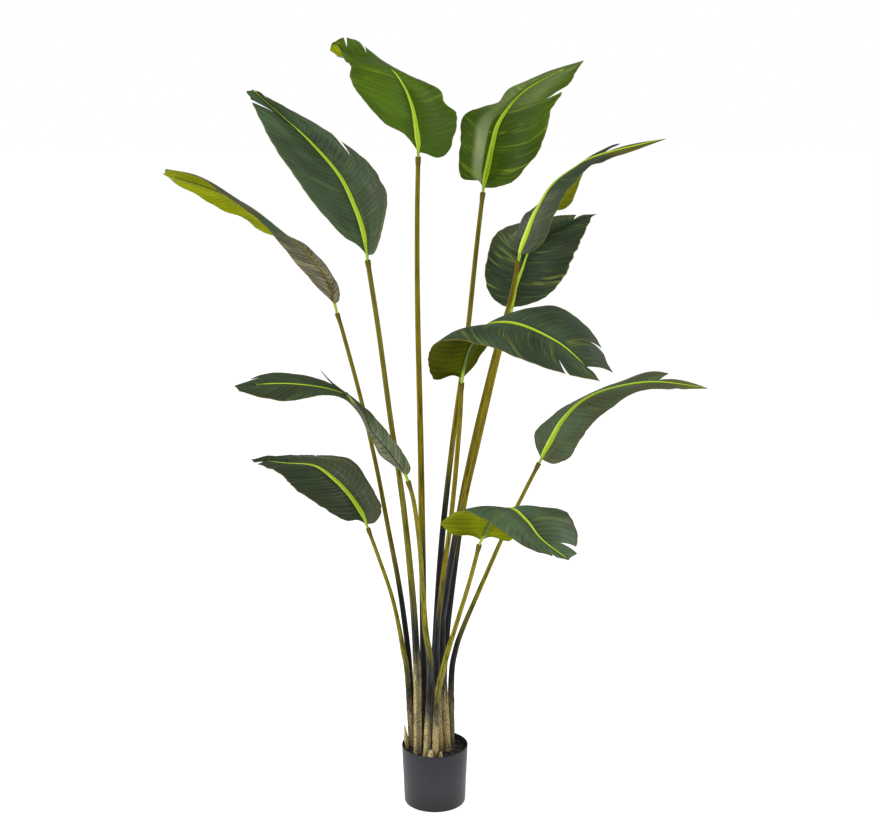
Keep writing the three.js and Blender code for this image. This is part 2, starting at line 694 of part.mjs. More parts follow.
addPiece('pot', potGeometry(), POT_PLASTIC);
addPiece('soil', soilGeometry(), DARK_SOIL);
LEAVES.forEach((leaf, at) => {
  const name = `leaf_${String(at + 1).padStart(2, '0')}`;
  addPiece(`${name}_stalk`, stalkGeometry(leaf), OLIVE_STALK);
  addPiece(`${name}_rib`, ribGeometry(leaf), GREEN_RIB);
  addPiece(`${name}_blade`, bladeGeometry(leaf), leaf.finish);
});
for (const husk of HUSKS) {
  addPiece(husk.name, huskGeometry(husk), TAN_BARK);
}

export default plant;
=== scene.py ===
import math
import random

import bpy
import numpy as np
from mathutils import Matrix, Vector, noise


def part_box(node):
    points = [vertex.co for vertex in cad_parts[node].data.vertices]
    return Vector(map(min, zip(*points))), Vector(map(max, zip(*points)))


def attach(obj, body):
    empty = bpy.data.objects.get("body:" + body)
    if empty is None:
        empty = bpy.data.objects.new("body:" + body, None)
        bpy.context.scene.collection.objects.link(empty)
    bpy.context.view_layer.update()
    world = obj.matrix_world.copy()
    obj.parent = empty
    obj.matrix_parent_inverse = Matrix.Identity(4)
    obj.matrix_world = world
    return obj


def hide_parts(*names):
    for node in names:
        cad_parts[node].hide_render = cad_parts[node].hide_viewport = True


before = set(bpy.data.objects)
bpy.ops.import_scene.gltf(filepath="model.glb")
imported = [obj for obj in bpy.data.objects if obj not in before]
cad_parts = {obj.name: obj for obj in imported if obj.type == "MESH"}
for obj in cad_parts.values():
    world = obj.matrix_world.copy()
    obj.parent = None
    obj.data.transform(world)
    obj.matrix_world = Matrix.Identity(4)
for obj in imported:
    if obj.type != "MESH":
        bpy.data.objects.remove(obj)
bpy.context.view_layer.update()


# The pot
# A plain round nursery pot, injection moulded in dark slate grey plastic with a satin face.
# Its wall leans out a little, and the rim is simply the wall's rounded top edge.

POT_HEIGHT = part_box("pot")[1].z
POT_RIM_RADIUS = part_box("pot")[1].x
POT_FOOT_RADIUS = 0.081
POT_WALL = 0.0025
POT_FLOOR = 0.003
POT_EDGE = 0.003
POT_ROUNDING = 0.0008
POT_INNER_FOOT = POT_FOOT_RADIUS - POT_WALL
POT_SIDES = 128
POT_SMOOTH_ANGLE = 35
POT_SPECULAR = 0.36
POT_SHADED_BELOW = 0.07
MOTTLE_FINENESS = 190
PEBBLE_FINENESS = 1400
PEBBLE_BUMP = (0.25, 0.0003)
SCUFF_STRETCH = (60, 60, 9)
POT_GREY = (0.0135, 0.0155, 0.02, 1)
POT_WORN_GREY = (0.021, 0.024, 0.029, 1)
# The near-black grey of the pot's lowest part is painted shade.
POT_PAINTED_SHADE_GREY = (0.003, 0.004, 0.006, 1)

# The rise of each ring over the last one, and its radius: up the wall's outside, over the rim,
# down its inside, and in along the floor.
POT_RINGS = [
    (POT_EDGE * 0.29, POT_FOOT_RADIUS - POT_EDGE * 0.29),
    (POT_EDGE * 0.71, POT_FOOT_RADIUS),
    (POT_HEIGHT - POT_EDGE - POT_ROUNDING, POT_RIM_RADIUS),
    (0.0006, POT_RIM_RADIUS - 0.0003),
    (0.0002, POT_RIM_RADIUS - 0.0009),
    (0.0, POT_RIM_RADIUS - POT_WALL + POT_ROUNDING),
    (-POT_ROUNDING, POT_RIM_RADIUS - POT_WALL),
    (POT_FLOOR - POT_HEIGHT + POT_ROUNDING, POT_INNER_FOOT),
    (0.0, POT_INNER_FOOT * 0.5),
]


def deselect():
    bpy.ops.object.select_all(action="DESELECT")


def start_piece(name):
    """Names the active object: a primitive that was just added, or pieces just joined."""
    piece = bpy.context.object
    piece.name = piece.data.name = name
    return piece


def close_shell():
    """Turns the faces of the piece in edit mode outwards, and leaves edit mode."""
    bpy.ops.mesh.select_all(action="SELECT")
    bpy.ops.mesh.normals_make_consistent(inside=False)
    bpy.ops.object.mode_set(mode="OBJECT")


def new_finish(name):
    """A new material, its nodes, and its shader."""
    finish = bpy.data.materials.new(name)
    finish.use_nodes = True
    return finish, finish.node_tree, finish.node_tree.nodes["Principled BSDF"]


def is_socket(value):
    return isinstance(value, bpy.types.NodeSocket)


def fill(node, inputs):
    """Fills a node's inputs: another node's socket is linked, a number or colour is set."""
    for key, value in inputs.items():
        if is_socket(value):
            node.id_data.links.new(value, node.inputs[key])
        else:
            node.inputs[key].default_value = value


def add_node(tree, kind, inputs=None, **settings):
    """Adds one node with its settings and inputs."""
    made = tree.nodes.new("ShaderNode" + kind)
    for key, value in settings.items():
        setattr(made, key, value)
    fill(made, inputs or {})
    return made


def next_node(kind, inputs, **settings):
    """Adds a node in the tree that its inputs come from. At least one of them is a socket."""
    tree = next(value.id_data for value in inputs.values() if is_socket(value))
    return add_node(tree, kind, inputs, **settings)


def reckon(operation, first, second=0.0, third=0.0):
    """One Math node, and its result."""
    return next_node("Math", {0: first, 1: second, 2: third}, operation=operation).outputs[0]


def times(first, second):
    return reckon("MULTIPLY", first, second)


def times_plus(first, second, third):
    """first * second + third."""
    return reckon("MULTIPLY_ADD", first, second, third)


def rising(value, low, high):
    """0 up to low, 1 from high on, and smooth between. With high below low, it falls."""
    return next_node("MapRange", {"Value": value, "From Min": low, "From Max": high},
                     interpolation_type="SMOOTHSTEP").outputs["Result"]


def blend_of(share, low, high):
    """One colour Mix node, and its result."""
    return next_node("Mix", {0: share, 6: low, 7: high}, data_type="RGBA").outputs[2]


def speckle(at, scale, detail):
    """A noise pattern between 0 and 1."""
    inputs = {"Vector": at, "Scale": scale, "Detail": detail}
    return next_node("TexNoise", inputs).outputs["Fac"]


def stretched(at, scale, shift=(0, 0, 0)):
    """Places for a pattern to be read at, scaled in each direction and shifted."""
    return next_node("Mapping", {"Vector": at, "Location": shift, "Scale": scale}).outputs[0]


def bumps(height, strength, distance):
    """The normals of a relief that is too fine for the mesh."""
    inputs = {"Height": height, "Strength": strength, "Distance": distance}
    return next_node("Bump", inputs).outputs[0]


deselect()
first_radius = POT_FOOT_RADIUS - POT_EDGE
bpy.ops.mesh.primitive_circle_add(vertices=POT_SIDES, radius=first_radius, fill_type="NGON")
pot = start_piece("pot_shell")
bpy.ops.object.mode_set(mode="EDIT")
bpy.ops.mesh.select_all(action="SELECT")
for last, (rise, radius) in zip([first_radius] + [ring[1] for ring in POT_RINGS], POT_RINGS):
    bpy.ops.mesh.extrude_region_move(TRANSFORM_OT_translate={"value": (0, 0, rise)})
    bpy.ops.transform.resize(value=(radius / last, radius / last, 1))
close_shell()
bpy.ops.object.shade_smooth_by_angle(angle=math.radians(POT_SMOOTH_ANGLE))

pot_finish, tree, shader = new_finish("satin_pot_plastic")
place = add_node(tree, "TexCoord").outputs["Object"]
mottle = rising(speckle(place, MOTTLE_FINENESS, 6), 0.35, 0.75)
pebble = speckle(place, PEBBLE_FINENESS, 2)
scuffs = speckle(stretched(place, SCUFF_STRETCH), 3, 6)
height = next_node("SeparateXYZ", {0: place}).outputs["Z"]
grey = blend_of(mottle, POT_GREY, POT_WORN_GREY)
# Painted shade: over its lowest 7 cm the wall darkens towards the bottom, to a near-black grey.
fill(shader, {
    "Base Color": blend_of(rising(height, POT_SHADED_BELOW, 0.0), grey, POT_PAINTED_SHADE_GREY),
    "Roughness": times_plus(scuffs, 0.14, 0.38),
    "Specular IOR Level": POT_SPECULAR,
    "Normal": bumps(pebble, *PEBBLE_BUMP),
})
pot.data.materials.append(pot_finish)
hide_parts("pot")
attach(pot, "root")


# The soil
# Nearly black potting soil, crumbly on top, a little below the rim. It is one heavy fill down
# to the pot's floor, and loose crumbs lie about on it.

SOIL_LEVEL = 0.143
SOIL_CROWN = 0.004
SOIL_EDGE_DIP = 0.002
SOIL_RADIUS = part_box("soil")[1].x
SOIL_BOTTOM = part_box("soil")[0].z
SOIL_FOOT_SHARE = 0.93
SOIL_GAP = 0.0002
SOIL_GRID = 110
SOIL_ROUGHNESS = 0.0028
CRUMB_COUNT = 300
CRUMB_SIZES = (0.0012, 0.0036)
CRUMB_MARGIN = 0.006
CRUMB_KNOBS = 0.35
GRIT_FINENESS = 420
CLOD_FINENESS = 190
SOIL_DULLNESS = 0.88
SOIL_BUMP = (0.9, 0.0015)
SOIL_DARK = (0.006, 0.006, 0.0055, 1)
SOIL_LIGHT = (0.035, 0.032, 0.026, 1)


def shape(piece, points):
    """Puts every point of a piece's mesh at its place."""
    piece.data.vertices.foreach_set("co", np.asarray(points, dtype=np.float32).ravel())
    piece.data.update()


def spots(piece):
    """Where the points of a piece's mesh are now, one row each."""
    flat = np.empty(len(piece.data.vertices) * 3, dtype=np.float32)
    piece.data.vertices.foreach_get("co", flat)
    return flat.reshape(-1, 3).astype(float)


def rows_of(flat, rows):
    """Which row of a flat sheet each of its points is in."""
    return np.rint((flat[:, 1] + 1) / 2 * rows).astype(int)


def flat_sheet(name, columns, rows):
    """A flat sheet from -1 to 1 both ways, which is shaped later, and its points."""
    deselect()
    bpy.ops.mesh.primitive_grid_add(x_subdivisions=columns, y_subdivisions=rows, size=2)
    sheet = start_piece(name)
    return sheet, spots(sheet)


def lumps(points, size, seed):
    """Smooth random heights between about -1 and 1 at some points, for lumps of one size."""
    shift = Vector((seed, 7.1 * seed, 0))
    return np.array([noise.noise(Vector(point) / size + shift) for point in points])


def join(pieces):
    """Joins pieces to the first of them."""
    deselect()
    for piece in pieces:
        piece.select_set(True)
    bpy.context.view_layer.objects.active = pieces[0]
    bpy.ops.object.join()


def soil_height(flat):
    """The soil's surface over points on the flat: crowned, and lumpy at three sizes."""
    reach = np.linalg.norm(flat[:, :2], axis=1) / SOIL_RADIUS
    rough = lumps(flat, 0.021, 3) + 0.6 * lumps(flat, 0.009, 5) + 0.35 * lumps(flat, 0.004, 9)
    crowned = SOIL_LEVEL + SOIL_CROWN * (1 - reach ** 2) - SOIL_EDGE_DIP * reach ** 8
    return crowned + SOIL_ROUGHNESS * rough


soil, flat = flat_sheet("soil_fill", SOIL_GRID, SOIL_GRID)
x, y = flat[:, 0], flat[:, 1]
disc = np.column_stack([x * np.sqrt(1 - y ** 2 / 2), y * np.sqrt(1 - x ** 2 / 2), 0 * x])
disc *= SOIL_RADIUS - SOIL_GAP
disc[:, 2] = soil_height(disc)
shape(soil, disc)
bottom, drop = (0, 0, SOIL_BOTTOM), (0, 0, SOIL_BOTTOM - SOIL_LEVEL)
bpy.ops.object.mode_set(mode="EDIT")
bpy.ops.mesh.select_all(action="SELECT")
bpy.ops.mesh.region_to_loop()
bpy.ops.mesh.extrude_region_move(TRANSFORM_OT_translate={"value": drop})
bpy.ops.transform.resize(value=(1, 1, 0), center_override=bottom)
bpy.ops.transform.resize(value=(SOIL_FOOT_SHARE, SOIL_FOOT_SHARE, 1), center_override=bottom)
bpy.ops.mesh.edge_face_add()
close_shell()
bpy.ops.object.shade_smooth()

soil_finish, tree, shader = new_finish("dark_potting_soil")
place = add_node(tree, "TexCoord").outputs["Object"]
grit = speckle(place, GRIT_FINENESS, 5)
clods = next_node("TexVoronoi", {"Vector": place, "Scale": CLOD_FINENESS}).outputs["Distance"]
fill(shader, {
    "Base Color": blend_of(rising(grit, 0.42, 0.72), SOIL_DARK, SOIL_LIGHT),
    "Roughness": SOIL_DULLNESS,
    "Normal": bumps(times_plus(clods, -0.6, grit), *SOIL_BUMP),
})
soil.data.materials.append(soil_finish)
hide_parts("soil")
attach(soil, "root")

draw = random.Random(41)
crumbs = []
for number in range(CRUMB_COUNT):
    turn = draw.uniform(0, 2 * math.pi)
    reach = (SOIL_RADIUS - CRUMB_MARGIN) * math.sqrt(draw.random())
    spot = np.array([[reach * math.cos(turn), reach * math.sin(turn), 0]])
    size = draw.uniform(*CRUMB_SIZES)
    deselect()
    bpy.ops.mesh.primitive_ico_sphere_add(
        subdivisions=2,
        radius=size,
        location=(spot[0, 0], spot[0, 1], soil_height(spot)[0] + size * 0.2),
        rotation=(draw.uniform(0, 3), draw.uniform(0, 3), 0),
        scale=(1, draw.uniform(0.6, 1), draw.uniform(0.5, 0.9)),
    )
    bpy.ops.object.transform_apply()
    crumb = bpy.context.object
    points = spots(crumb)
    middle = points.mean(axis=0)
    knobs = 1 + CRUMB_KNOBS * lumps(points, size, number)[:, None]
    shape(crumb, middle + (points - middle) * knobs)
    crumbs.append(crumb)
join(crumbs)
crumbs = start_piece("soil_crumbs")
bpy.ops.object.origin_set(type="ORIGIN_CURSOR")
crumbs.data.materials.append(soil_finish)
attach(crumbs, "root")


# The stalks
# Eleven round leaf stalks, satin olive above, brown-black lower down, and cased in rough tan bark
# where they stand in the soil; on the inner stalks that bark is painted nearly black, as painted
# shade among the stalks. The top of each is a short, split, brownish socket.

HOLE_DEPTH = 0.062
SOCKET_DEPTH = 0.012
SOCKET_TAPER = 0.0192
SOCKET_FLARE = 0.0012
SOCKET_LIPS = 0.0012
BORE_RADIUS = 0.004
SPLIT_DEPTH = 0.008
SPLIT_TURN = 0.2
SPLIT_FACES = 4.4
STALK_AROUND = 28
STALK_ROWS = 230
STALK_GAIN = 1.07
STALK_FULLNESS = 0.2
FULLEST_AT = 0.25
ROWS_SPREAD = 0.3
STALK_SPECULAR = 0.08
STALK_BUMP = (0.9, 0.0014)
FLECK_FINENESS = 420
LINE_STEPS = 400
BARK_FADE = 0.06
BARK_LUMPS = 45
BARK_SWELL = 0.12
BARK_ROUGHNESS = 0.11
SHORT_DARK = 0.48
OLIVE = (0.21, 0.165, 0.003, 1)
OLIVE_SHADE = (0.055, 0.042, 0.002, 1)
OLIVE_GREEN = (0.15, 0.145, 0.015, 1)
BRIGHT_OLIVE = (0.25, 0.225, 0.012, 1)
BROWN_BLACK = (0.011, 0.01, 0.006, 1)
SLATE_BLACK = (0.032, 0.038, 0.046, 1)
BARK_TAN = (0.66, 0.52, 0.23, 1)
BARK_BROWN = (0.13, 0.1, 0.045, 1)
BARK_SLATE = (0.04, 0.048, 0.048, 1)
KNOT_PALE = (0.6, 0.55, 0.28, 1)
SOCKET_BROWN = (0.2, 0.14, 0.012, 1)

# line: the middle of the stalk from the soil up to its socket. radius: at the foot and the top.
# bark, dark: the heights where the bark ends, and where the dark stretch ends. tan: how pale the
# bark is, from nearly black, which is painted shade on the inner stalks, to tan.
STALKS = [
    dict(
        line=[(-0.029, 0.005, 0.143), (-0.031, 0.015, 0.55), (-0.036, 0.03, 0.95),
              (-0.043, 0.042, 1.3), (-0.044, 0.054, 1.52), (-0.041, 0.062, 1.695)],
        radius=(0.0085, 0.0052), bark=0.3, dark=0.72, tan=0.05,
    ),
    dict(
        line=[(-0.008, 0.025, 0.143), (-0.003, 0.036, 0.28), (0.002, 0.048, 0.43),
              (0.019, 0.08, 0.7), (0.05, 0.13, 0.975), (0.085, 0.175, 1.225),
              (0.108, 0.215, 1.44), (0.127, 0.25, 1.6)],
        radius=(0.009, 0.0054), bark=0.3, dark=0.85, tan=0.1,
    ),
    dict(
        line=[(-0.045, -0.03, 0.143), (-0.046, -0.035, 0.355), (-0.056, -0.042, 0.57),
              (-0.08, -0.05, 0.83), (-0.11, -0.058, 1.05), (-0.138, -0.066, 1.275),
              (-0.163, -0.075, 1.45)],
        radius=(0.0088, 0.0054), bark=0.39, dark=0.56, tan=1,
    ),
    dict(
        line=[(-0.048, 0.042, 0.143), (-0.064, 0.055, 0.29), (-0.072, 0.068, 0.395),
              (-0.094, 0.098, 0.555), (-0.125, 0.13, 0.715), (-0.155, 0.158, 0.87),
              (-0.198, 0.195, 1.055), (-0.245, 0.23, 1.225), (-0.262, 0.24, 1.28)],
        radius=(0.007, 0.0048), bark=0.25, dark=0.6, tan=0.05,
    ),
    dict(
        line=[(0.033, -0.015, 0.143), (0.019, -0.032, 0.46), (0.028, -0.044, 0.58),
              (0.064, -0.06, 0.82), (0.098, -0.072, 1.0), (0.151, -0.088, 1.23),
              (0.186, -0.103, 1.36), (0.202, -0.12, 1.452)],
        radius=(0.0078, 0.0052), bark=0.3, dark=0.78, tan=0.85,
    ),
    dict(
        line=[(0.027, 0.03, 0.143), (0.021, 0.043, 0.28), (0.03, 0.056, 0.425),
              (0.043, 0.072, 0.54), (0.076, 0.107, 0.775), (0.118, 0.137, 0.96),
              (0.172, 0.176, 1.19), (0.202, 0.194, 1.288)],
        radius=(0.0085, 0.0052), bark=0.3, dark=0.7, tan=0.1,
    ),
    dict(
        line=[(0.014, -0.025, 0.143), (0.005, -0.049, 0.37), (0.006, -0.067, 0.49),
              (0.02, -0.091, 0.635), (0.043, -0.131, 0.835), (0.06, -0.173, 1.05),
              (0.065, -0.198, 1.168)],
        radius=(0.0075, 0.005), bark=0.3, dark=0.58, tan=0.7,
    ),
    dict(
        line=[(0.044, 0.014, 0.143), (0.044, 0.03, 0.33), (0.055, 0.041, 0.405),
              (0.077, 0.053, 0.468), (0.13, 0.079, 0.587), (0.18, 0.104, 0.697),
              (0.222, 0.124, 0.783), (0.278, 0.148, 0.89)],
        radius=(0.007, 0.0048), bark=0.28, dark=0.47, tan=0.35,
    ),
    dict(
        line=[(-0.022, -0.055, 0.143), (-0.012, -0.084, 0.398), (-0.023, -0.107, 0.515),
              (-0.03, -0.131, 0.63), (-0.037, -0.16, 0.755), (-0.05, -0.187, 0.87),
              (-0.064, -0.202, 0.928)],
        radius=(0.0075, 0.0048), bark=0.25, dark=0.45, tan=1,
    ),
    dict(
        line=[(-0.062, 0.017, 0.143), (-0.074, 0.036, 0.34), (-0.085, 0.045, 0.405),
              (-0.098, 0.055, 0.478), (-0.117, 0.068, 0.555), (-0.146, 0.084, 0.638),
              (-0.178, 0.1, 0.724)],
        radius=(0.006, 0.0046), bark=0.24, dark=0.35, tan=0.9,
    ),
    dict(
        line=[(0.0, -0.055, 0.143), (0.006, -0.09, 0.318), (0.021, -0.115, 0.41),
              (0.034, -0.134, 0.47), (0.05, -0.153, 0.532), (0.08, -0.195, 0.65),
              (0.096, -0.219, 0.72), (0.108, -0.24, 0.779)],
        radius=(0.007, 0.0048), bark=0.24, dark=0.33, tan=1,
    ),
]


def unit(vectors):
    """The same directions at length 1."""
    return vectors / np.maximum(np.linalg.norm(vectors, axis=-1, keepdims=True), 1e-12)


def smooth_line(points, shares):
    """Places on a smooth line through given points, from 0 to 1, and its headings there."""
    points = np.array(points, dtype=float)
    padded = np.vstack([2 * points[0] - points[1], points, 2 * points[-1] - points[-2]])
    place = np.clip(shares, 0, 1) * (len(points) - 1)
    start = np.minimum(place.astype(int), len(points) - 2)
    t = (place - start)[..., None]
    a, b, c, d = (padded[start + step] for step in range(4))
    bend, twist = 2 * a - 5 * b + 4 * c - d, 3 * b - a - 3 * c + d
    spot = (2 * b + (c - a) * t + bend * t ** 2 + twist * t ** 3) / 2
    return spot, unit((c - a) + 2 * bend * t + 3 * twist * t ** 2)


def lengths_along(spot):
    """How far each place of a line is from its start, measured along it."""
    return np.concatenate([[0], np.cumsum(np.linalg.norm(np.diff(spot, axis=0), axis=1))])


def rolled_tube(name, around, centres, headings, radii, swell=None, lift=None):
    """A flat sheet rolled round a line and sewn up. A radius of 0 at an end closes it.
    swell gives each point's radius a factor, and lift moves it along the line."""
    rows = len(centres) - 1
    tube, flat = flat_sheet(name, around, rows)
    turn, row = (flat[:, 0] + 1) * math.pi, rows_of(flat, rows)
    across = unit(np.cross((0.0, 1.0, 0.0), headings))
    beside = np.cross(headings, across)
    size = radii[row] if swell is None else radii[row] * swell(turn, row)
    points = centres[row] + across[row] * (size * np.cos(turn))[:, None]
    points += beside[row] * (size * np.sin(turn))[:, None]
    if lift is not None:
        points += headings[row] * lift(turn, row)[:, None]
    shape(tube, points)
    bpy.ops.object.mode_set(mode="EDIT")
    bpy.ops.mesh.select_all(action="SELECT")
    bpy.ops.mesh.remove_doubles(threshold=1e-6)
    close_shell()
    bpy.ops.object.shade_smooth()
    return tube


def sheet_place(tree):
    """Where a point lies across a sheet or round a tube, and where along it, from 0 to 1."""
    place = add_node(tree, "SeparateXYZ", {0: add_node(tree, "UVMap").outputs[0]})
    return place.outputs["X"], place.outputs["Y"]


def new_group(name, takes, gives):
    """A node group with number sockets: the group, what comes in, and the node at its end."""
    group = bpy.data.node_groups.new(name, "ShaderNodeTree")
    for way, keys in (("INPUT", takes), ("OUTPUT", gives)):
        for key in keys:
            group.interface.new_socket(key, in_out=way, socket_type="NodeSocketFloat")
    return group, group.nodes.new("NodeGroupInput").outputs, group.nodes.new("NodeGroupOutput")


def place_group(tree, group, inputs):
    """Places a node group in a material with its own values, and gives its outputs."""
    made = tree.nodes.new("ShaderNodeGroup")
    made.node_tree = group
    fill(made, inputs)
    return made.outputs


def lengthwise_grain():
    """A node group: fibres that run along a rolled tube and meet at its seam.
    Its inputs are the tube's length in fibres, and how fine they are round it."""
    group, given, way_out = new_group(
        "lengthwise_grain", ("Length", "Fineness"), ("Fibres", "Patches"))
    around, along = sheet_place(group)
    turn = times(around, 2 * math.pi)
    ring = [times(reckon(wave, turn), given["Fineness"])
            for wave in ("COSINE", "SINE")]
    far = times(along, given["Length"])
    at = next_node("CombineXYZ", {0: ring[0], 1: ring[1], 2: far}).outputs[0]
    fill(way_out, {
        "Fibres": speckle(at, 1, 4),
        "Patches": speckle(stretched(at, (0.3, 0.3, 0.4)), 1, 3),
    })
    return group


GRAIN = lengthwise_grain()


def layered(colour, layers):
    """A colour with others laid over it in turn. A layer is its mask, strength and colour."""
    for mask, strength, over in layers:
        share = mask if strength == 1 else times(mask, strength)
        colour = blend_of(share, colour, over)
    return colour


def stalk_finish(name, number, stalk):
    """Bark at the foot, then brown-black with slate patches, then olive, then the socket."""
    finish, tree, shader = new_finish(name)
    top, dark_end, bark_end = stalk["line"][-1][2], stalk["dark"], stalk["bark"]
    place = add_node(tree, "TexCoord").outputs["Object"]
    height = next_node("SeparateXYZ", {0: place}).outputs["Z"]
    grain = place_group(tree, GRAIN, {"Length": 26, "Fineness": 3.2})
    fibres, patches = grain["Fibres"], grain["Patches"]
    scales = place_group(tree, GRAIN, {"Length": 170, "Fineness": 5})["Fibres"]
    flecks = speckle(place, FLECK_FINENESS, 4)
    ragged = times_plus(reckon("SUBTRACT", fibres, 0.5), 0.2, height)
    side = reckon("SINE", times_plus(sheet_place(tree)[0], 2 * math.pi, number))
    seam = reckon("ABSOLUTE", reckon("SUBTRACT", side, 0.2))
    bright, greener = (BRIGHT_OLIVE, 0.2) if dark_end < SHORT_DARK else (OLIVE, 0.75)
    olive = layered(bright, [
        (rising(side, 0.2, 0.4), greener, OLIVE_GREEN),
        (rising(seam, 0.2, 0.06), 0.8, OLIVE_SHADE),
        (rising(fibres, 0.52, 0.38), 1, OLIVE_SHADE),
    ])
    bluish = times(rising(patches, 0.45, 0.6), 0.3 + 0.7 * stalk["tan"])
    dark = blend_of(bluish, BROWN_BLACK, SLATE_BLACK)
    bark = layered(BARK_BROWN, [
        (rising(scales, 0.4, 0.56), 1, BARK_TAN),
        (rising(flecks, 0.46, 0.62), 0.65, BARK_BROWN),
        (rising(patches, 0.53, 0.66), 0.7, BARK_SLATE),
        (rising(side, 0.8, 0.98), 0.6, BARK_SLATE),
        (rising(flecks, 0.68, 0.73), 1, KNOT_PALE),
    ])
    # Where tan is low, on the inner stalks, the bark gives way to the brown-black: painted shade
    # among the stalks.
    bark = blend_of(stalk["tan"], dark, bark)
    body = blend_of(rising(ragged, dark_end - 0.08, dark_end + 0.1), dark, olive)
    body = blend_of(rising(ragged, bark_end - 0.03, bark_end + 0.05), bark, body)
    socket = blend_of(rising(fibres, 0.4, 0.6), OLIVE_SHADE, SOCKET_BROWN)
    barky = rising(ragged, bark_end + 0.05, bark_end - 0.03)
    relief = times(reckon("ADD", flecks, scales), barky)
    fill(shader, {
        "Base Color": blend_of(rising(height, top - 0.03, top - 0.018), body, socket),
        "Roughness": times_plus(barky, 0.4, 0.42),
        "Specular IOR Level": STALK_SPECULAR,
        "Normal": bumps(times_plus(fibres, 0.5, relief), *STALK_BUMP),
    })
    return finish


for number, stalk in enumerate(STALKS, 1):
    steps = np.linspace(0, 1, LINE_STEPS)
    lengths = lengths_along(smooth_line(stalk["line"], steps)[0])
    even = np.interp(np.linspace(0, lengths[-1], LINE_STEPS), lengths, steps)
    shares = np.linspace(0, 1, STALK_ROWS)
    shares = ROWS_SPREAD * shares + (1 - ROWS_SPREAD) * shares ** 2
    shares = np.interp(shares, steps, even)
    centres, headings = smooth_line(stalk["line"], shares)
    foot, tip = stalk["radius"]
    radii = foot + (tip - foot) * np.sqrt(shares)
    fuller = STALK_FULLNESS * np.exp(-((shares - FULLEST_AT) / FULLEST_AT) ** 2)
    radii = radii * (STALK_GAIN + fuller)
    below_top = np.linalg.norm(centres - centres[-1], axis=1)
    radii = radii + SOCKET_FLARE * np.interp(below_top, [SOCKET_DEPTH, SOCKET_TAPER], [1, 0])
    root = centres[0] - headings[0] * HOLE_DEPTH
    floor = centres[-1] - headings[-1] * SOCKET_DEPTH
    centres = np.vstack([root, root, centres, centres[-1], floor, floor])
    headings = np.vstack([headings[:1]] * 2 + [headings] + [headings[-1:]] * 3)
    radii = np.concatenate([[0, foot], radii, [BORE_RADIUS, BORE_RADIUS, 0]])
    barked = np.interp(centres[:, 2], [stalk["bark"], stalk["bark"] + BARK_FADE], [1, 0])
    rim_rows = (STALK_ROWS + 1, STALK_ROWS + 2)

    def bark_swell(turn, row):
        at = np.column_stack([np.cos(turn), np.sin(turn), centres[row][:, 2] * BARK_LUMPS])
        knobs = lumps(at, 0.9, number) + 0.5 * lumps(at, 0.4, number + 20)
        return 1 + barked[row] * (BARK_SWELL + BARK_ROUGHNESS * knobs) + 0.03 * np.cos(2 * turn)

    def socket_split(turn, row):
        split = np.angle(np.exp(1j * (turn - SPLIT_FACES - 0.5 * (number % 3))))
        lips = SOCKET_LIPS * np.cos(2 * turn + number)
        lips = lips - SPLIT_DEPTH * np.exp(-(split / SPLIT_TURN) ** 2)
        return np.where(np.isin(row, rim_rows), lips, 0)

    piece = rolled_tube(f"stalk_{number:02d}", STALK_AROUND, centres, headings, radii,
                        bark_swell, socket_split)
    piece.data.materials.append(stalk_finish(f"stalk_{number:02d}_skin", number, stalk))
    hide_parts(f"leaf_{number:02d}_stalk")
    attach(piece, "root")


# The leaf blades
# Large paddle-shaped blades, dark green and satin above, yellow-green below. Pleats follow
# the side veins, which arch from the midrib to the waved and torn edge.

BLADE_THICKNESS = 0.0011
BLADE_COLUMNS = 30
BLADE_ROWS = 250
LENGTH_STEPS = 500
ENDS_INSIDE = (0.006, 0.994)
PLEAT_WIDTH = 0.0135
PLEAT_HEIGHT = 0.001
PLEAT_SHARPNESS = 0.8
VEIN_ARCH = 0.07
VEIN_DRIFT = 0.4
NARROW_HALF = 0.08
RIPPLE_LEAD = 2
FLUTTER = 0.003
UNDULATION = 0.0016
BASE_CREASE = 0.0013
EDGE_WOBBLE = 0.045
WOBBLES = (11, 31)
BLUNT_AT = 0.955
BLUNT_SPREAD = 0.03
FLAT_BESIDE_MIDRIB = 0.006
FLAT_FADE = 0.014
FLAT_WHEN_NARROW = 0.03
LEAST_CROSSING = 0.45
STRIP_AROUND = 10
STRIP_ROWS = 14
STRIP_RADII = (0.0045, 0.0009)
DRY_TO = 0.5
DRY_FADE = 0.15
UNDER_ROUGHNESS = 0.55
UNDER_SPECULAR = 0.03
LEAF_BUMP = (0.5, 0.001)
LEAF_DEEP = (0.017, 0.033, 0.014, 1)
LEAF_MID = (0.043, 0.075, 0.034, 1)
LEAF_STREAK = (0.22, 0.27, 0.035, 1)
LEAF_BROWNISH = (0.11, 0.092, 0.042, 1)
LEAF_DRY = (0.075, 0.065, 0.035, 1)
LEAF_DRY_PALE = (0.3, 0.27, 0.17, 1)
LEAF_DULL = (0.06, 0.072, 0.034, 1)
LEAF_DULL_PALE = (0.25, 0.26, 0.15, 1)
BRIGHT_DEEP = (0.036, 0.075, 0.003, 1)
BRIGHT_MID = (0.065, 0.125, 0.005, 1)
BRIGHT_STREAK = (0.26, 0.35, 0.015, 1)
# The pale grey-green of a painted sheen.
PAINTED_SHEEN_GREEN = (0.3, 0.35, 0.17, 1)
EDGE_TAN = (0.15, 0.12, 0.015, 1)
UNDER_DEEP = (0.12, 0.14, 0.001, 1)
UNDER_LIGHT = (0.26, 0.3, 0.004, 1)
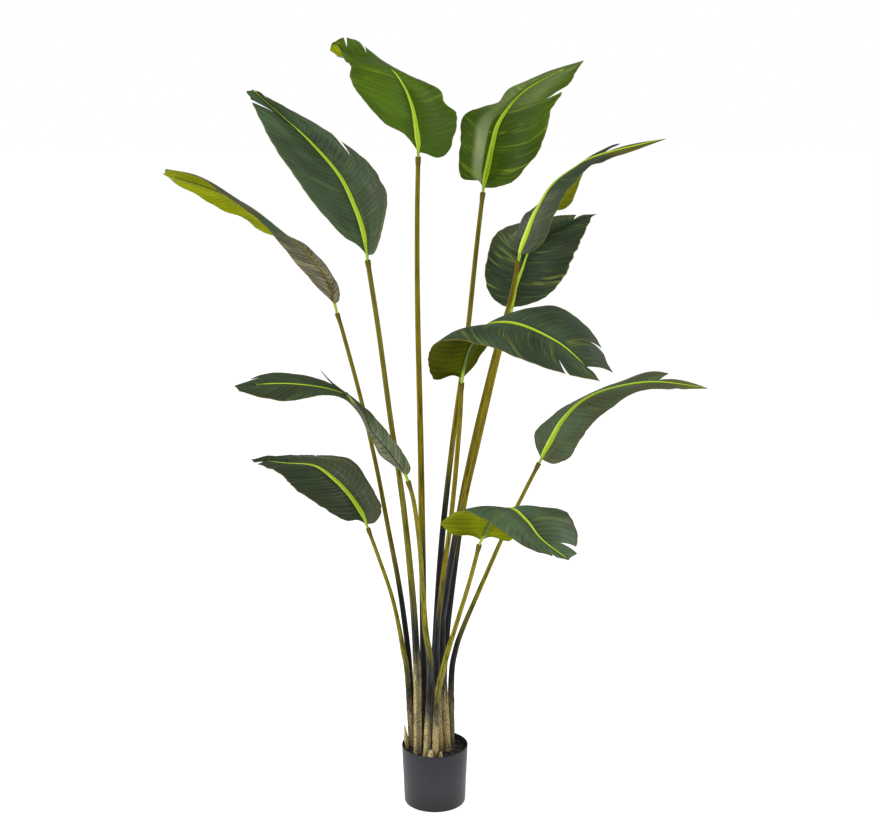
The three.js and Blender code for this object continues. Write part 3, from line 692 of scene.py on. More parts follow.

# Shape. midrib, left, right: points from base to tip, with left and right as seen on the upper
# face, tip upwards. An edge starts at the midrib's foot. With one point fewer than the midrib it
# ends at its last point, and otherwise it runs in to the tip. bow: how far a half bulges, as a
# share of its width. wave, ripples: the height and number of the edge's waves. tears: (side, at,
# reach, lean, gap), as shares of the blade. pleats: how strong its pleats are. rib: half the
# width of its lime midrib, and reach: where that ends. blunt: how much fuller it is near its
# tip. strip, strip_at: a torn strip that stands up from it, and where it starts.
# Looks. tone, shine: how light and how glossy the upper face is. under: how light the underside
# is. streaks, brown: how strongly pale streaks and brown patches show. dry: how creased and dull
# its left and right halves are near the base, and dry_to: how far up. dusk: how strongly painted
# shade darkens its right half near the base. pale: from where to where across it a painted pale
# sheen lies. margin: how strongly its left edge takes the pale dull dried colour, partly as dry
# brown and partly as a painted sheen. tip: where its tan tip begins. band: "dry" for a midrib
# that is dry all along, and "late" for one that is lime only further out.
BLADES = [
    dict(
        slot="blade_bright", streaks=0.3, brown=0.0, pleats=0.75, under=1.25, rib=0.0095,
        blunt=0.3, tone=1.08, shine=0.12, reach=0.62, dry=(0, 0),
        midrib=[(-0.04, 0.06, 1.707), (-0.042, 0.06, 1.73), (-0.045, 0.065, 1.76),
                (-0.055, 0.075, 1.815), (-0.075, 0.085, 1.865), (-0.11, 0.1, 1.91),
                (-0.17, 0.11, 1.94), (-0.23, 0.1, 1.94), (-0.26, 0.09, 1.955)],
        left=[(-0.075, 0.045, 1.75), (-0.13, 0.035, 1.785), (-0.19, 0.03, 1.85),
              (-0.205, 0.04, 1.89), (-0.21, 0.06, 1.915), (-0.22, 0.075, 1.93),
              (-0.24, 0.07, 1.965)],
        right=[(-0.025, 0.05, 1.704), (0.008, 0.045, 1.694), (0.038, 0.038, 1.712),
               (0.051, 0.036, 1.745), (0.056, 0.038, 1.782), (0.05, 0.042, 1.806),
               (0.023, 0.048, 1.828), (0.016, 0.06, 1.856), (-0.02, 0.09, 1.875),
               (-0.068, 0.125, 1.896), (-0.128, 0.145, 1.932), (-0.184, 0.15, 1.975),
               (-0.213, 0.138, 1.984), (-0.235, 0.12, 1.985), (-0.252, 0.105, 1.97)],
        bow=0.08, wave=0.005, ripples=3.5, right_base_shade=0.95,
        tears=[("right", 0.745, 0.8, -0.008, 0.016), ("right", 0.84, 0.55, -0.01, 0.022)],
    ),
    dict(
        slot="blade_bright", streaks=0.6, brown=0.0, pleats=0.3, under=0.8, rib=0.0115, blunt=0,
        tone=0.85, shine=0.1, reach=0.88, dry=(0, 0),
        midrib=[(0.128, 0.25, 1.612), (0.132, 0.25, 1.635), (0.14, 0.255, 1.67),
                (0.15, 0.26, 1.72), (0.17, 0.268, 1.785), (0.225, 0.274, 1.855),
                (0.3, 0.277, 1.9), (0.39, 0.275, 1.94)],
        left=[(0.113, 0.24, 1.632), (0.09, 0.225, 1.633), (0.071, 0.217, 1.64),
              (0.063, 0.212, 1.675), (0.063, 0.208, 1.711), (0.065, 0.207, 1.745),
              (0.068, 0.21, 1.776), (0.083, 0.215, 1.803), (0.123, 0.228, 1.819),
              (0.165, 0.248, 1.836), (0.192, 0.262, 1.868), (0.245, 0.27, 1.89),
              (0.31, 0.274, 1.916)],
        right=[(0.165, 0.23, 1.615), (0.22, 0.21, 1.64), (0.275, 0.21, 1.715),
               (0.3, 0.225, 1.8), (0.335, 0.25, 1.86), (0.365, 0.27, 1.905)],
        bow=0.08, wave=0.005, ripples=3, pale=(0.16, 0.4),
        tears=[("right", 0.66, 0.25, 0.05, 0.05)],
    ),
    dict(
        slot="blade_dark", streaks=0.3, brown=0.1, pleats=0.6, under=1, rib=0.0084, blunt=0.5,
        tone=1.25, shine=0.2, reach=1, dry=(0, 0.6),
        midrib=[(-0.164, -0.075, 1.462), (-0.167, -0.074, 1.482), (-0.172, -0.07, 1.515),
                (-0.19, -0.06, 1.57), (-0.23, -0.04, 1.65), (-0.3, -0.02, 1.73),
                (-0.375, 0.0, 1.797), (-0.445, 0.01, 1.858)],
        left=[(-0.19, -0.09, 1.49), (-0.225, -0.095, 1.515), (-0.285, -0.095, 1.58),
              (-0.345, -0.08, 1.67), (-0.405, -0.05, 1.75), (-0.44, -0.022, 1.825)],
        right=[(-0.145, -0.09, 1.47), (-0.125, -0.095, 1.52), (-0.115, -0.095, 1.6),
               (-0.155, -0.07, 1.68), (-0.26, -0.035, 1.76), (-0.38, -0.01, 1.825)],
        bow=0.07, wave=0.004, ripples=3,
        tears=[("left", 0.83, 0.75, 0.035, 0.025), ("right", 0.62, 0.25, 0.05, 0.03),
               ("right", 0.9, 0.2, 0.02, 0.02)],
    ),
    dict(
        slot="blade_dark", streaks=0.2, brown=1.0, pleats=1.0, under=1, rib=0.0018, blunt=0.5,
        tone=1.1, shine=0.2, reach=1, dry=(1, 1),
        midrib=[(-0.268, 0.24, 1.305), (-0.275, 0.24, 1.335), (-0.3, 0.24, 1.39),
                (-0.35, 0.235, 1.45), (-0.42, 0.23, 1.51), (-0.49, 0.22, 1.565),
                (-0.58, 0.205, 1.61), (-0.705, 0.19, 1.65)],
        left=[(-0.295, 0.215, 1.335), (-0.335, 0.195, 1.385), (-0.4, 0.18, 1.46),
              (-0.447, 0.17, 1.53), (-0.505, 0.165, 1.565), (-0.632, 0.15, 1.654)],
        right=[(-0.255, 0.225, 1.32), (-0.266, 0.255, 1.364), (-0.35, 0.29, 1.46),
               (-0.474, 0.29, 1.498), (-0.51, 0.27, 1.53), (-0.605, 0.25, 1.58)],
        bow=0.1, wave=0.005, ripples=3,
        tears=[("right", 0.955, 0.4, 0.025, 0.015)],
        band="dry",
    ),
    dict(
        slot="blade_dark", streaks=0.2, brown=0.3, pleats=0.3, under=0.55, rib=0.008, blunt=0,
        tone=0.66, shine=0.2, reach=1, tip=0.68, dry=(0, 0.3),
        midrib=[(0.204, -0.122, 1.466), (0.209, -0.126, 1.483), (0.22, -0.133, 1.515),
                (0.24, -0.142, 1.57), (0.275, -0.148, 1.63), (0.325, -0.15, 1.67),
                (0.385, -0.145, 1.7), (0.545, -0.135, 1.74)],
        left=[(0.187, -0.114, 1.49), (0.195, -0.105, 1.51), (0.225, -0.09, 1.565),
              (0.32, -0.075, 1.575), (0.357, -0.09, 1.665), (0.415, -0.12, 1.72)],
        right=[(0.23, -0.145, 1.475), (0.26, -0.165, 1.505), (0.285, -0.185, 1.57),
               (0.31, -0.2, 1.625), (0.35, -0.195, 1.665), (0.4, -0.175, 1.69)],
        bow=0.08, wave=0.004, ripples=2.5,
        tears=[("left", 0.87, 0.85, 0.02, 0.1)],
    ),
    dict(
        slot="blade_dark", streaks=0.6, brown=0.1, pleats=0.45, under=0.8, rib=0.0078, blunt=0,
        tone=0.66, shine=0.1, reach=0.62, dry=(0, 0),
        midrib=[(0.205, 0.195, 1.302), (0.207, 0.196, 1.322), (0.213, 0.2, 1.355),
                (0.23, 0.208, 1.4), (0.25, 0.218, 1.45), (0.293, 0.224, 1.487),
                (0.35, 0.228, 1.512), (0.425, 0.215, 1.545)],
        left=[(0.172, 0.175, 1.312), (0.14, 0.16, 1.35), (0.13, 0.155, 1.415),
              (0.155, 0.172, 1.49), (0.22, 0.215, 1.523), (0.33, 0.235, 1.54)],
        right=[(0.242, 0.18, 1.31), (0.295, 0.166, 1.335), (0.34, 0.165, 1.39),
               (0.368, 0.175, 1.45), (0.392, 0.192, 1.495), (0.408, 0.208, 1.532)],
        bow=0.07, wave=0.004, ripples=3,
        tears=[("left", 0.9, 0.6, 0.02, 0.03)],
        margin=0.8,
    ),
    dict(
        slot="blade_dark", streaks=0.5, brown=0.1, pleats=0.4, under=0.28, rib=0.0066, blunt=0,
        tone=1, shine=0.2, reach=1, dry=(0, 0),
        midrib=[(0.066, -0.2, 1.18), (0.068, -0.204, 1.2), (0.072, -0.212, 1.225),
                (0.085, -0.226, 1.265), (0.118, -0.242, 1.31), (0.19, -0.262, 1.318),
                (0.285, -0.284, 1.278), (0.35, -0.3, 1.224)],
        left=[(0.078, -0.197, 1.19), (0.095, -0.192, 1.21), (0.128, -0.185, 1.255),
              (0.18, -0.184, 1.32), (0.275, -0.194, 1.35), (0.37, -0.22, 1.295),
              (0.417, -0.272, 1.205)],
        right=[(0.04, -0.22, 1.19), (0.0, -0.248, 1.185), (-0.013, -0.272, 1.24),
               (0.016, -0.295, 1.283), (0.15, -0.318, 1.265), (0.267, -0.336, 1.222),
               (0.378, -0.328, 1.192)],
        bow=0.1, wave=0.004, ripples=3,
        tears=[("right", 0.87, 0.4, 0.03, 0.012), ("left", 0.89, 0.35, 0.025, 0.02)],
    ),
    dict(
        slot="blade_dark", streaks=0.3, brown=0.65, pleats=0.6, under=0.8, rib=0.0084, blunt=0,
        tone=1.65, shine=0.2, reach=1, tip=0.76, dry=(0.3, 0.4),
        midrib=[(0.284, 0.15, 0.901), (0.293, 0.15, 0.92), (0.312, 0.152, 0.955),
                (0.34, 0.156, 1.005), (0.39, 0.164, 1.055), (0.465, 0.176, 1.085),
                (0.585, 0.195, 1.1), (0.735, 0.215, 1.08)],
        left=[(0.27, 0.165, 0.935), (0.27, 0.182, 0.97), (0.328, 0.202, 1.017),
              (0.412, 0.22, 1.06), (0.495, 0.225, 1.095), (0.598, 0.22, 1.125)],
        right=[(0.313, 0.13, 0.893), (0.355, 0.116, 0.912), (0.388, 0.11, 0.968),
               (0.438, 0.112, 1.03), (0.525, 0.135, 1.08), (0.63, 0.175, 1.085)],
        bow=0.08, wave=0.004, ripples=2.5,
        tears=[("left", 0.87, 0.75, 0.02, 0.09)],
    ),
    dict(
        slot="blade_dark", streaks=0.3, brown=0.25, pleats=0.9, under=0.8, rib=0.0024, blunt=0,
        tone=1, shine=0.08, reach=0.92, dry=(0.6, 0.6),
        midrib=[(-0.068, -0.203, 0.94), (-0.082, -0.205, 0.962), (-0.112, -0.21, 1.005),
                (-0.15, -0.215, 1.055), (-0.176, -0.22, 1.107), (-0.225, -0.23, 1.15),
                (-0.335, -0.24, 1.172), (-0.47, -0.25, 1.17)],
        left=[(-0.088, -0.188, 0.957), (-0.135, -0.17, 0.985), (-0.153, -0.154, 1.03),
              (-0.185, -0.172, 1.094), (-0.24, -0.275, 1.154), (-0.353, -0.293, 1.14),
              (-0.456, -0.27, 1.16)],
        right=[(-0.058, -0.22, 0.966), (-0.083, -0.24, 1.02), (-0.117, -0.255, 1.07),
               (-0.179, -0.182, 1.116), (-0.268, -0.202, 1.174), (-0.393, -0.2, 1.19)],
        bow=0.08, wave=0.003, ripples=2.5,
        tears=[("right", 0.9, 0.4, 0.03, 0.06)],
        band="late",
        strip=[(-0.212, -0.234, 1.15), (-0.245, -0.224, 1.175), (-0.272, -0.218, 1.205)],
        strip_at=(0.63, 0.9),
    ),
    dict(
        slot="blade_dark", streaks=0.15, brown=0.2, pleats=1.4, under=0.8, rib=0.009, blunt=0.4,
        tone=0.6, shine=0.18, reach=0.9, dry=(0, 0.95), dry_to=0.85,
        midrib=[(-0.182, 0.1, 0.735), (-0.187, 0.1, 0.75), (-0.2, 0.102, 0.775),
                (-0.227, 0.106, 0.814), (-0.27, 0.115, 0.855), (-0.32, 0.124, 0.887),
                (-0.4, 0.135, 0.892), (-0.49, 0.145, 0.9)],
        left=[(-0.205, 0.085, 0.75), (-0.238, 0.065, 0.756), (-0.3, 0.05, 0.796),
              (-0.358, 0.045, 0.841), (-0.4, 0.06, 0.876), (-0.44, 0.095, 0.89)],
        right=[(-0.156, 0.088, 0.745), (-0.14, 0.085, 0.784), (-0.16, 0.09, 0.827),
               (-0.219, 0.138, 0.899), (-0.308, 0.168, 0.906), (-0.395, 0.17, 0.907)],
        bow=0.08, wave=0.003, ripples=3,
        tears=[("right", 0.72, 0.15, 0.01, 0.02), ("left", 0.92, 0.7, 0.01, 0.03)],
    ),
    dict(
        slot="blade_dark", streaks=0.3, brown=0.2, pleats=0.45, under=0.95, rib=0.0072, blunt=0.3,
        tone=1.6, shine=0.15, reach=1, dry=(0, 0),
        midrib=[(0.113, -0.244, 0.792), (0.12, -0.25, 0.81), (0.127, -0.258, 0.83),
                (0.144, -0.272, 0.858), (0.181, -0.288, 0.882), (0.218, -0.305, 0.855),
                (0.252, -0.322, 0.815), (0.315, -0.336, 0.77)],
        left=[(0.138, -0.235, 0.797), (0.185, -0.222, 0.788), (0.21, -0.205, 0.83),
              (0.254, -0.214, 0.865), (0.318, -0.235, 0.857), (0.342, -0.276, 0.8)],
        right=[(0.082, -0.266, 0.811), (0.037, -0.288, 0.82), (0.018, -0.306, 0.856),
               (0.065, -0.332, 0.888), (0.147, -0.362, 0.856), (0.225, -0.372, 0.808)],
        bow=0.07, wave=0.004, ripples=3,
        tears=[("left", 0.88, 0.6, 0.01, 0.05), ("right", 0.93, 0.3, 0.01, 0.02)],
    ),
]


def edge_of(blade, side):
    """An edge's points from the midrib's foot to its own end, or else in to the tip."""
    whole = [blade["midrib"][0], *blade[side]]
    return whole if len(whole) == len(blade["midrib"]) else [*whole, blade["midrib"][-1]]


def wobble_at(blade, rightwards, along):
    """Small uneven swings of a blade's outline, between about -1 and 1."""
    seat = blade["midrib"][0][0] * 50
    swings = [
        noise.noise(Vector((share * WOBBLES[0], seat, 9.0 * side)))
        + 0.6 * noise.noise(Vector((share * WOBBLES[1], seat, side)))
        for share, side in zip(along, rightwards)
    ]
    return np.array(swings) * np.clip(along / 0.1, 0, 1)


def on_blade(blade, rightwards, along, out):
    """Points on the blade's middle sheet, its upward directions there, and the half's width."""

    def half(at):
        root, heading = smooth_line(blade["midrib"], at)
        left, _ = smooth_line(edge_of(blade, "left"), at)
        right, _ = smooth_line(edge_of(blade, "right"), at)
        return root, heading, np.where(rightwards[:, None], right, left) - root

    root, _, across = half(along)
    fuller = EDGE_WOBBLE * wobble_at(blade, rightwards, along)
    fuller = fuller + blade["blunt"] * np.exp(-((along - BLUNT_AT) / BLUNT_SPREAD) ** 2)
    across = across * (1 + fuller)[:, None]
    _, heading, slope = half(np.clip(along, *ENDS_INSIDE))
    facing = unit(np.cross(slope, heading)) * np.where(rightwards, 1, -1)[:, None]
    width = np.linalg.norm(across, axis=1)
    lead = np.where(rightwards, RIPPLE_LEAD, 0)
    ripple = np.sin(2 * math.pi * blade["ripples"] * along + lead)
    ripple = ripple * np.minimum(1, width / NARROW_HALF)
    lift = blade["bow"] * width * np.sin(math.pi * out) + blade["wave"] * ripple * out ** 2
    return root + across * out[:, None] + facing * lift[:, None], facing, width


def crossing(blade, rightwards, along):
    """How squarely each row leaves the midrib: the sine of the angle between them."""
    inside = np.clip(along, *ENDS_INSIDE)
    spine, heading = smooth_line(blade["midrib"], inside)
    edge, _, _ = on_blade(blade, rightwards, inside, np.ones(len(along)))
    sine = np.linalg.norm(np.cross(unit(edge - spine), heading), axis=1)
    return np.clip(sine, LEAST_CROSSING, 1)


def row_shares(blade, rows):
    """Where on the midrib each row starts, for rows of one width, and the blade's length."""
    along = np.linspace(0, 1, LENGTH_STEPS)
    lengths = 0
    for way in (False, True):
        middle, _, _ = on_blade(
            blade, np.full(LENGTH_STEPS, way), along, np.full(LENGTH_STEPS, 0.5))
        lengths = lengths + lengths_along(middle) / 2
    return np.interp(np.linspace(0, lengths[-1], rows + 1), lengths, along), lengths[-1]


def tear_push(blade, side, shares, row, cell_row, out):
    """How far each point is pushed along the blade by the tears on its side."""
    stops = sorted([(0, 0, 1, 0, 0), (1, 0, 1, 0, 0)]
                   + [tear[1:2] + (1,) + tear[2:] for tear in blade["tears"] if tear[0] == side])
    stop_rows = [int(np.argmin(np.abs(shares - stop[0]))) for stop in stops]
    push = np.zeros(len(out))
    for low, high, low_row, high_row in zip(stops, stops[1:], stop_rows, stop_rows[1:]):
        here = (cell_row > low_row) & (cell_row < high_row)
        opened = [stop[1] * np.maximum(0, (out - 1 + stop[2]) / stop[2]) for stop in (low, high)]
        after, before = (low[3] + low[4]) * opened[0], high[3] * opened[1]
        share = (shares[row] - shares[low_row]) / (shares[high_row] - shares[low_row])
        push = np.where(here, after + (before - after) * share, push)
    return push


def cut_tears(sheet, flat, blade, shares):
    """Cuts the flat sheet along each tear, from the edge inwards."""
    row = rows_of(flat, BLADE_ROWS)
    for edge in sheet.data.edges:
        edge.select = False
    for side, at, reach, _, _ in blade["tears"]:
        torn_row = int(np.argmin(np.abs(shares - at)))
        sign = 1 if side == "right" else -1
        torn = (row == torn_row) & (flat[:, 0] * sign >= 1 - reach - 1e-6)
        for edge in sheet.data.edges:
            if torn[edge.vertices[0]] and torn[edge.vertices[1]]:
                edge.select = True
    bpy.ops.object.mode_set(mode="EDIT")
    bpy.ops.mesh.select_mode(type="EDGE")
    bpy.ops.mesh.edge_split(type="EDGE")
    bpy.ops.mesh.select_mode(type="VERT")
    bpy.ops.object.mode_set(mode="OBJECT")


def cells_of(sheet, flat):
    """For each point, the middle row of the faces that it belongs to."""
    corners = np.empty(len(sheet.data.loops), dtype=np.int32)
    sheet.data.loops.foreach_get("vertex_index", corners)
    corners = corners.reshape(-1, 4)
    middles = flat[corners, 1].mean(axis=1)
    total, count = np.zeros(len(flat)), np.zeros(len(flat))
    for corner in range(4):
        np.add.at(total, corners[:, corner], middles)
        np.add.at(count, corners[:, corner], 1)
    return (total / count + 1) / 2 * BLADE_ROWS


def thicken(piece, thickness, offset, back=0):
    """Gives a sheet its thickness. back: how much further on in its finishes its back's is."""
    body = piece.modifiers.new("thickness", "SOLIDIFY")
    body.thickness = thickness
    body.offset = offset
    body.material_offset = back
    bpy.ops.object.modifier_apply(modifier="thickness")
    bpy.ops.object.shade_smooth()


def blade_sheet(name, number, blade, shares, length, finishes):
    """A flat sheet cut along its tears, then shaped, pleated and given its thickness."""
    sheet, flat = flat_sheet(name, BLADE_COLUMNS, BLADE_ROWS)
    cut_tears(sheet, flat, blade, shares)
    flat = spots(sheet)
    side, row = flat[:, 0], rows_of(flat, BLADE_ROWS)
    rightwards, out = side > 0, np.abs(side)
    cell_row = cells_of(sheet, flat)
    pushes = [tear_push(blade, way, shares, row, cell_row, out) for way in ("right", "left")]
    along = shares[row] + np.where(rightwards, *pushes)
    points, facing, width = on_blade(blade, rightwards, along, out)
    vein = (row / BLADE_ROWS + VEIN_ARCH * (1 - out ** 2)) / (1 + VEIN_ARCH)
    drift = lumps(np.column_stack([out * 1.5, vein * 9, rightwards * 5.0]), 1, number)
    vein = vein + VEIN_DRIFT * drift * PLEAT_WIDTH / length

    def swings(across_times, along_times, seed):
        at = np.column_stack([side * across_times, vein * along_times, 0 * out])
        return lumps(at, 1, number + seed)

    pleat = np.abs(np.sin(math.pi * vein * length / PLEAT_WIDTH)) ** PLEAT_SHARPNESS
    height = PLEAT_HEIGHT * blade["pleats"] * pleat * (0.7 + 0.5 * swings(2, 14, 30))
    height += FLUTTER * out ** 3 * swings(1, 16, 60)
    height += UNDULATION * swings(2, 9, 90)
    creased = np.where(rightwards, blade["dry"][1], blade["dry"][0])
    fade = np.exp(-(vein / (0.3 + 0.15 * creased)) ** 2)
    height += BASE_CREASE * (1 + 1.5 * creased) * swings(7, 3, 120) * fade
    beside = out * width * crossing(blade, rightwards, along)
    clear = np.clip((beside - FLAT_BESIDE_MIDRIB) / FLAT_FADE, 0, 1)
    clear = clear * np.minimum(1, width / FLAT_WHEN_NARROW)
    shape(sheet, points + facing * (height * clear)[:, None])
    for corner, loop in zip(sheet.data.uv_layers.active.data, sheet.data.loops):
        corner.uv = ((side[loop.vertex_index] + 1) / 2, vein[loop.vertex_index])
    bpy.ops.object.mode_set(mode="EDIT")
    bpy.ops.mesh.select_all(action="SELECT")
    bpy.ops.mesh.remove_doubles(threshold=1e-6)
    bpy.ops.object.mode_set(mode="OBJECT")
    for finish in finishes:
        sheet.data.materials.append(finish)
    thicken(sheet, BLADE_THICKNESS, 0, back=1)
    return sheet


def vein_pattern():
    """A node group for the blades, in step with the pleats of their mesh: swells between the side
    veins, pale lines along some veins, paler streaks, fine veins, long patches, and masks for the
    edge and for the painted shadow beside the midrib."""
    group, given, way_out = new_group("vein_pattern", ("Veins", "Seed"), (
        "Swells", "Lines", "Streaks", "Fine Veins", "Patches", "Edge", "Painted Midrib Shadow"))
    across, along = sheet_place(group)
    out = times(reckon("ABSOLUTE", reckon("SUBTRACT", across, 0.5)), 2)
    count = times(along, given["Veins"])

    def along_veins(wide, step, detail, which=count):
        at = {0: times(across, wide), 1: times(which, step), 2: given["Seed"]}
        return speckle(next_node("CombineXYZ", at).outputs[0], 1, detail)

    swells = reckon("ABSOLUTE", reckon("SINE", times(count, math.pi)))
    chosen = rising(along_veins(3.5, 7.3, 1, reckon("ROUND", count)), 0.5, 0.66)
    lines = times(rising(swells, 0.5, 0.1), chosen)
    streaks = times(rising(along_veins(1.6, 1.3, 2), 0.57, 0.72),
                    rising(along_veins(5, 3.1, 1), 0.3, 0.6))
    fade = rising(out, 0.02, 0.2)
    wobble = times_plus(along_veins(3, 0.5, 1), 0.6, count)
    fill(way_out, {
        "Swells": swells,
        "Lines": times(lines, fade),
        "Streaks": times(streaks, fade),
        "Fine Veins": reckon("SINE", times(wobble, 2 * math.pi * 3)),
        "Patches": along_veins(3, 0.14, 3),
        "Edge": rising(out, 0.975, 0.99),
        # The strip beside the midrib, which the upper face darkens as a painted shadow.
        "Painted Midrib Shadow": rising(out, 0.11, 0.05),
    })
    return group


VEINS = vein_pattern()


def toned(colour, tone):
    """A colour made lighter or darker."""
    return [part * tone for part in colour[:3]] + [1]


def upper_finish(name, number, blade, length):
    """The blade's satin upper face: two greens, the deeper one partly painted shade in the
    pleats' creases, pale streaks, brown patches, a painted shadow beside the midrib and a tan
    edge; on some blades also a painted sheen and painted shade near the base.
    """
    finish, tree, shader = new_finish(name)
    bright = blade["slot"] == "blade_bright"
    deep, mid = (BRIGHT_DEEP, BRIGHT_MID) if bright else (LEAF_DEEP, LEAF_MID)
    deep, mid = toned(deep, blade["tone"]), toned(mid, blade["tone"])
    streak = BRIGHT_STREAK if bright else LEAF_STREAK
    veins = length / PLEAT_WIDTH
    pattern = place_group(tree, VEINS, {"Veins": veins, "Seed": number * 3.7})
    swells, fine, patches = (pattern[key] for key in ("Swells", "Fine Veins", "Patches"))
    across, along = sheet_place(tree)
    # The deep green gathers in the pleats' creases, more so the deeper the pleats: partly the
    # blade's own stripes, partly painted shade.
    stripes_and_crease_shade = 0.15 + 0.35 * blade["pleats"]
    shade = times_plus(fine, 0.15, rising(patches, 0.3, 0.7))
    shade = times_plus(rising(swells, 0.1, 0.9), stripes_and_crease_shade, shade)
    shade = reckon("SUBTRACT", shade, stripes_and_crease_shade * 0.6)
    brown = times(rising(patches, 0.6, 0.42), blade["brown"])
    brown = times(brown, times_plus(swells, 0.7, 0.3))

    def creases(across_times, along_times):
        sheet = add_node(tree, "UVMap").outputs[0]
        at = stretched(sheet, (across_times, along_times, 1), (number, 0, 0))
        return speckle(at, 1, 3)

    if "band" in blade:
        folds = times_plus(swells, 0.25, creases(2.2, 0.55 * veins))
        folds = rising(folds, 0.5, 0.86)
    else:
        folds = rising(creases(16, 2.5), 0.52, 0.74)
    left, right = blade["dry"]
    dull, pale = (LEAF_DRY, LEAF_DRY_PALE) if left == 1 else (LEAF_DULL, LEAF_DULL_PALE)
    dried = blend_of(times(folds, 0.8 - 0.1 * left), dull, pale)
    halves = times_plus(rising(across, 0.49, 0.51), right - left, left)
    dry_to = blade.get("dry_to", DRY_TO)
    ragged = times_plus(patches, 0.3, along)
    near_base = rising(ragged, dry_to + DRY_FADE, dry_to - DRY_FADE)
    near_base = times(near_base, 0.7 + 0.3 * left)
    layers = [(brown, 1, LEAF_BROWNISH), (times(near_base, halves), 1, dried)]
    # Painted sheen: a pale grey-green band across the left half and a wash over the upper part
    # stand in for a reflection of the light.
    if "pale" in blade:
        low, high = blade["pale"]
        middle = times(rising(across, low, low + 0.1),
                       rising(across, high, high - 0.03))
        middle = times(middle, rising(along, 0.56, 0.36))
        shoulder = times(rising(along, 0.42, 0.62), rising(across, 1, 0.7))
        sheen_breakup = times_plus(fine, 0.12, times_plus(patches, 1.2, 0.05))
        sheen = times(times_plus(shoulder, 0.4, middle), sheen_breakup)
        layers.append((sheen, 1, PAINTED_SHEEN_GREEN))
    # Painted shade: the right half darkens towards the deep green near the base.
    if "right_base_shade" in blade:
        painted_right_base_shade = times(rising(across, 0.5, 0.62), rising(along, 0.5, 0.2))
        layers.append((painted_right_base_shade, blade["right_base_shade"], deep))
    # The left half's outer part, further up, takes the pale dried colour: partly dry brown,
    # partly a painted sheen where that half is seen edge-on.
    if "margin" in blade:
        margin_dry_and_sheen = times(rising(across, 0.3, 0.12), rising(along, 0.4, 0.55))
        layers.append((margin_dry_and_sheen, blade["margin"], dried))
    layers += [
        (pattern["Streaks"], blade["streaks"], streak),
        (pattern["Lines"], 0.08 + 0.3 * blade["streaks"], streak),
        # Painted shadow: the strip beside the raised midrib is darkened towards the deep green.
        (pattern["Painted Midrib Shadow"], 0.5, deep),
    ]
    if "tip" in blade:
        layers.append((rising(along, blade["tip"], blade["tip"] + 0.08), 0.6, EDGE_TAN))
    layers.append((pattern["Edge"], 1, EDGE_TAN))
    relief = times_plus(fine, 0.12, times(swells, blade["pleats"]))
    fill(shader, {
        "Base Color": layered(blend_of(shade, deep, mid), layers),
        "Roughness": times_plus(patches, 0.25, 0.3),
        "Specular IOR Level": blade["shine"],
        "Normal": bumps(relief, *LEAF_BUMP),
    })
    return finish


def under_finish(name, number, blade, length):
    """The blade's duller, yellow-green underside, with its veins a little lighter."""
    finish, tree, shader = new_finish(name)
    pattern = place_group(tree, VEINS, {"Veins": length / PLEAT_WIDTH, "Seed": number * 5.3})
    fine, swells = pattern["Fine Veins"], pattern["Swells"]
    shade = times_plus(swells, 0.35, rising(pattern["Patches"], 0.2, 0.8))
    shade = times_plus(fine, 0.1, reckon("SUBTRACT", shade, 0.2))
    deep, light = toned(UNDER_DEEP, blade["under"]), toned(UNDER_LIGHT, blade["under"])
    fill(shader, {
        "Base Color": blend_of(shade, deep, light),
        "Roughness": UNDER_ROUGHNESS,
        "Specular IOR Level": UNDER_SPECULAR,
        "Normal": bumps(times_plus(fine, 0.15, swells), *LEAF_BUMP),
    })
    return finish


for number, blade in enumerate(BLADES, 1):
    name = f"blade_{number:02d}"
    shares, length = row_shares(blade, BLADE_ROWS)
    finishes = (upper_finish(f"{name}_upper", number, blade, length),
                under_finish(f"{name}_under", number, blade, length))
    piece = blade_sheet(name, number, blade, shares, length, finishes)
    if "strip" in blade:
        along, out = (np.array([value]) for value in blade["strip_at"])
        root, _, _ = on_blade(blade, np.array([True]), along, out)
        line = [tuple(root[0]), *blade["strip"]]
        centres, headings = smooth_line(line, np.linspace(0, 1, STRIP_ROWS))
        radii = np.concatenate([[0], np.linspace(*STRIP_RADII, STRIP_ROWS - 2), [0]])
        strip = rolled_tube("torn_strip", STRIP_AROUND, centres, headings, radii)
        strip.data.materials.append(piece.data.materials[0])
        join([piece, strip])
    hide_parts(f"leaf_{number:02d}_blade")
    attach(piece, "root")


# The midribs
# On the upper face of each blade a lime green band, two-toned and slightly raised, runs from
# the base and thins to nothing at the tip. Below it runs a round, darker green rod, whose
# lower end is the stub that is plugged into the stalk's socket.

STUB_RADIUS = 0.0034
STUB_PAST_SOCKET = 0.001
SEAT_GAP = 0.0003
ROD_TIP_RADIUS = 0.0009
ROD_AROUND = 14
ROD_ROWS = 90
ROD_ENDS_BEFORE = 4
ROD_FOOT_GAIN = 0.25
ROD_SETTLES_BY = 0.08
ROD_SUNK = 0.75
STEEPEST_FOLD = 0.45
ROD_ROUGHNESS = 0.45
ROD_BUMP = (0.3, 0.0005)
BAND_TIP_HALF_WIDTH = 0.0017
BAND_HEIGHT = 0.0019
BAND_COLUMNS = 8
BAND_ROWS = 170
BAND_THICKNESS = BLADE_THICKNESS * 0.8
BAND_FULL_BY = 0.1
BAND_ENDS = (0.004, 0.99)
BAND_ROUGHNESS = 0.38
BAND_SPECULAR = 0.25
BAND_BUMP = (0.2, 0.0005)
LATE_START = 0.45
LATE_FADE = 0.15
LIME = (0.34, 0.5, 0.008, 1)
LIME_PALE = (0.52, 0.71, 0.06, 1)
LIME_SHADE = (0.15, 0.2, 0.004, 1)
ROD_GREEN = (0.028, 0.07, 0.006, 1)
ROD_LIGHT = (0.09, 0.17, 0.008, 1)
STUB_LIME = (0.26, 0.38, 0.012, 1)
OLD_GOLD = (0.3, 0.24, 0.03, 1)


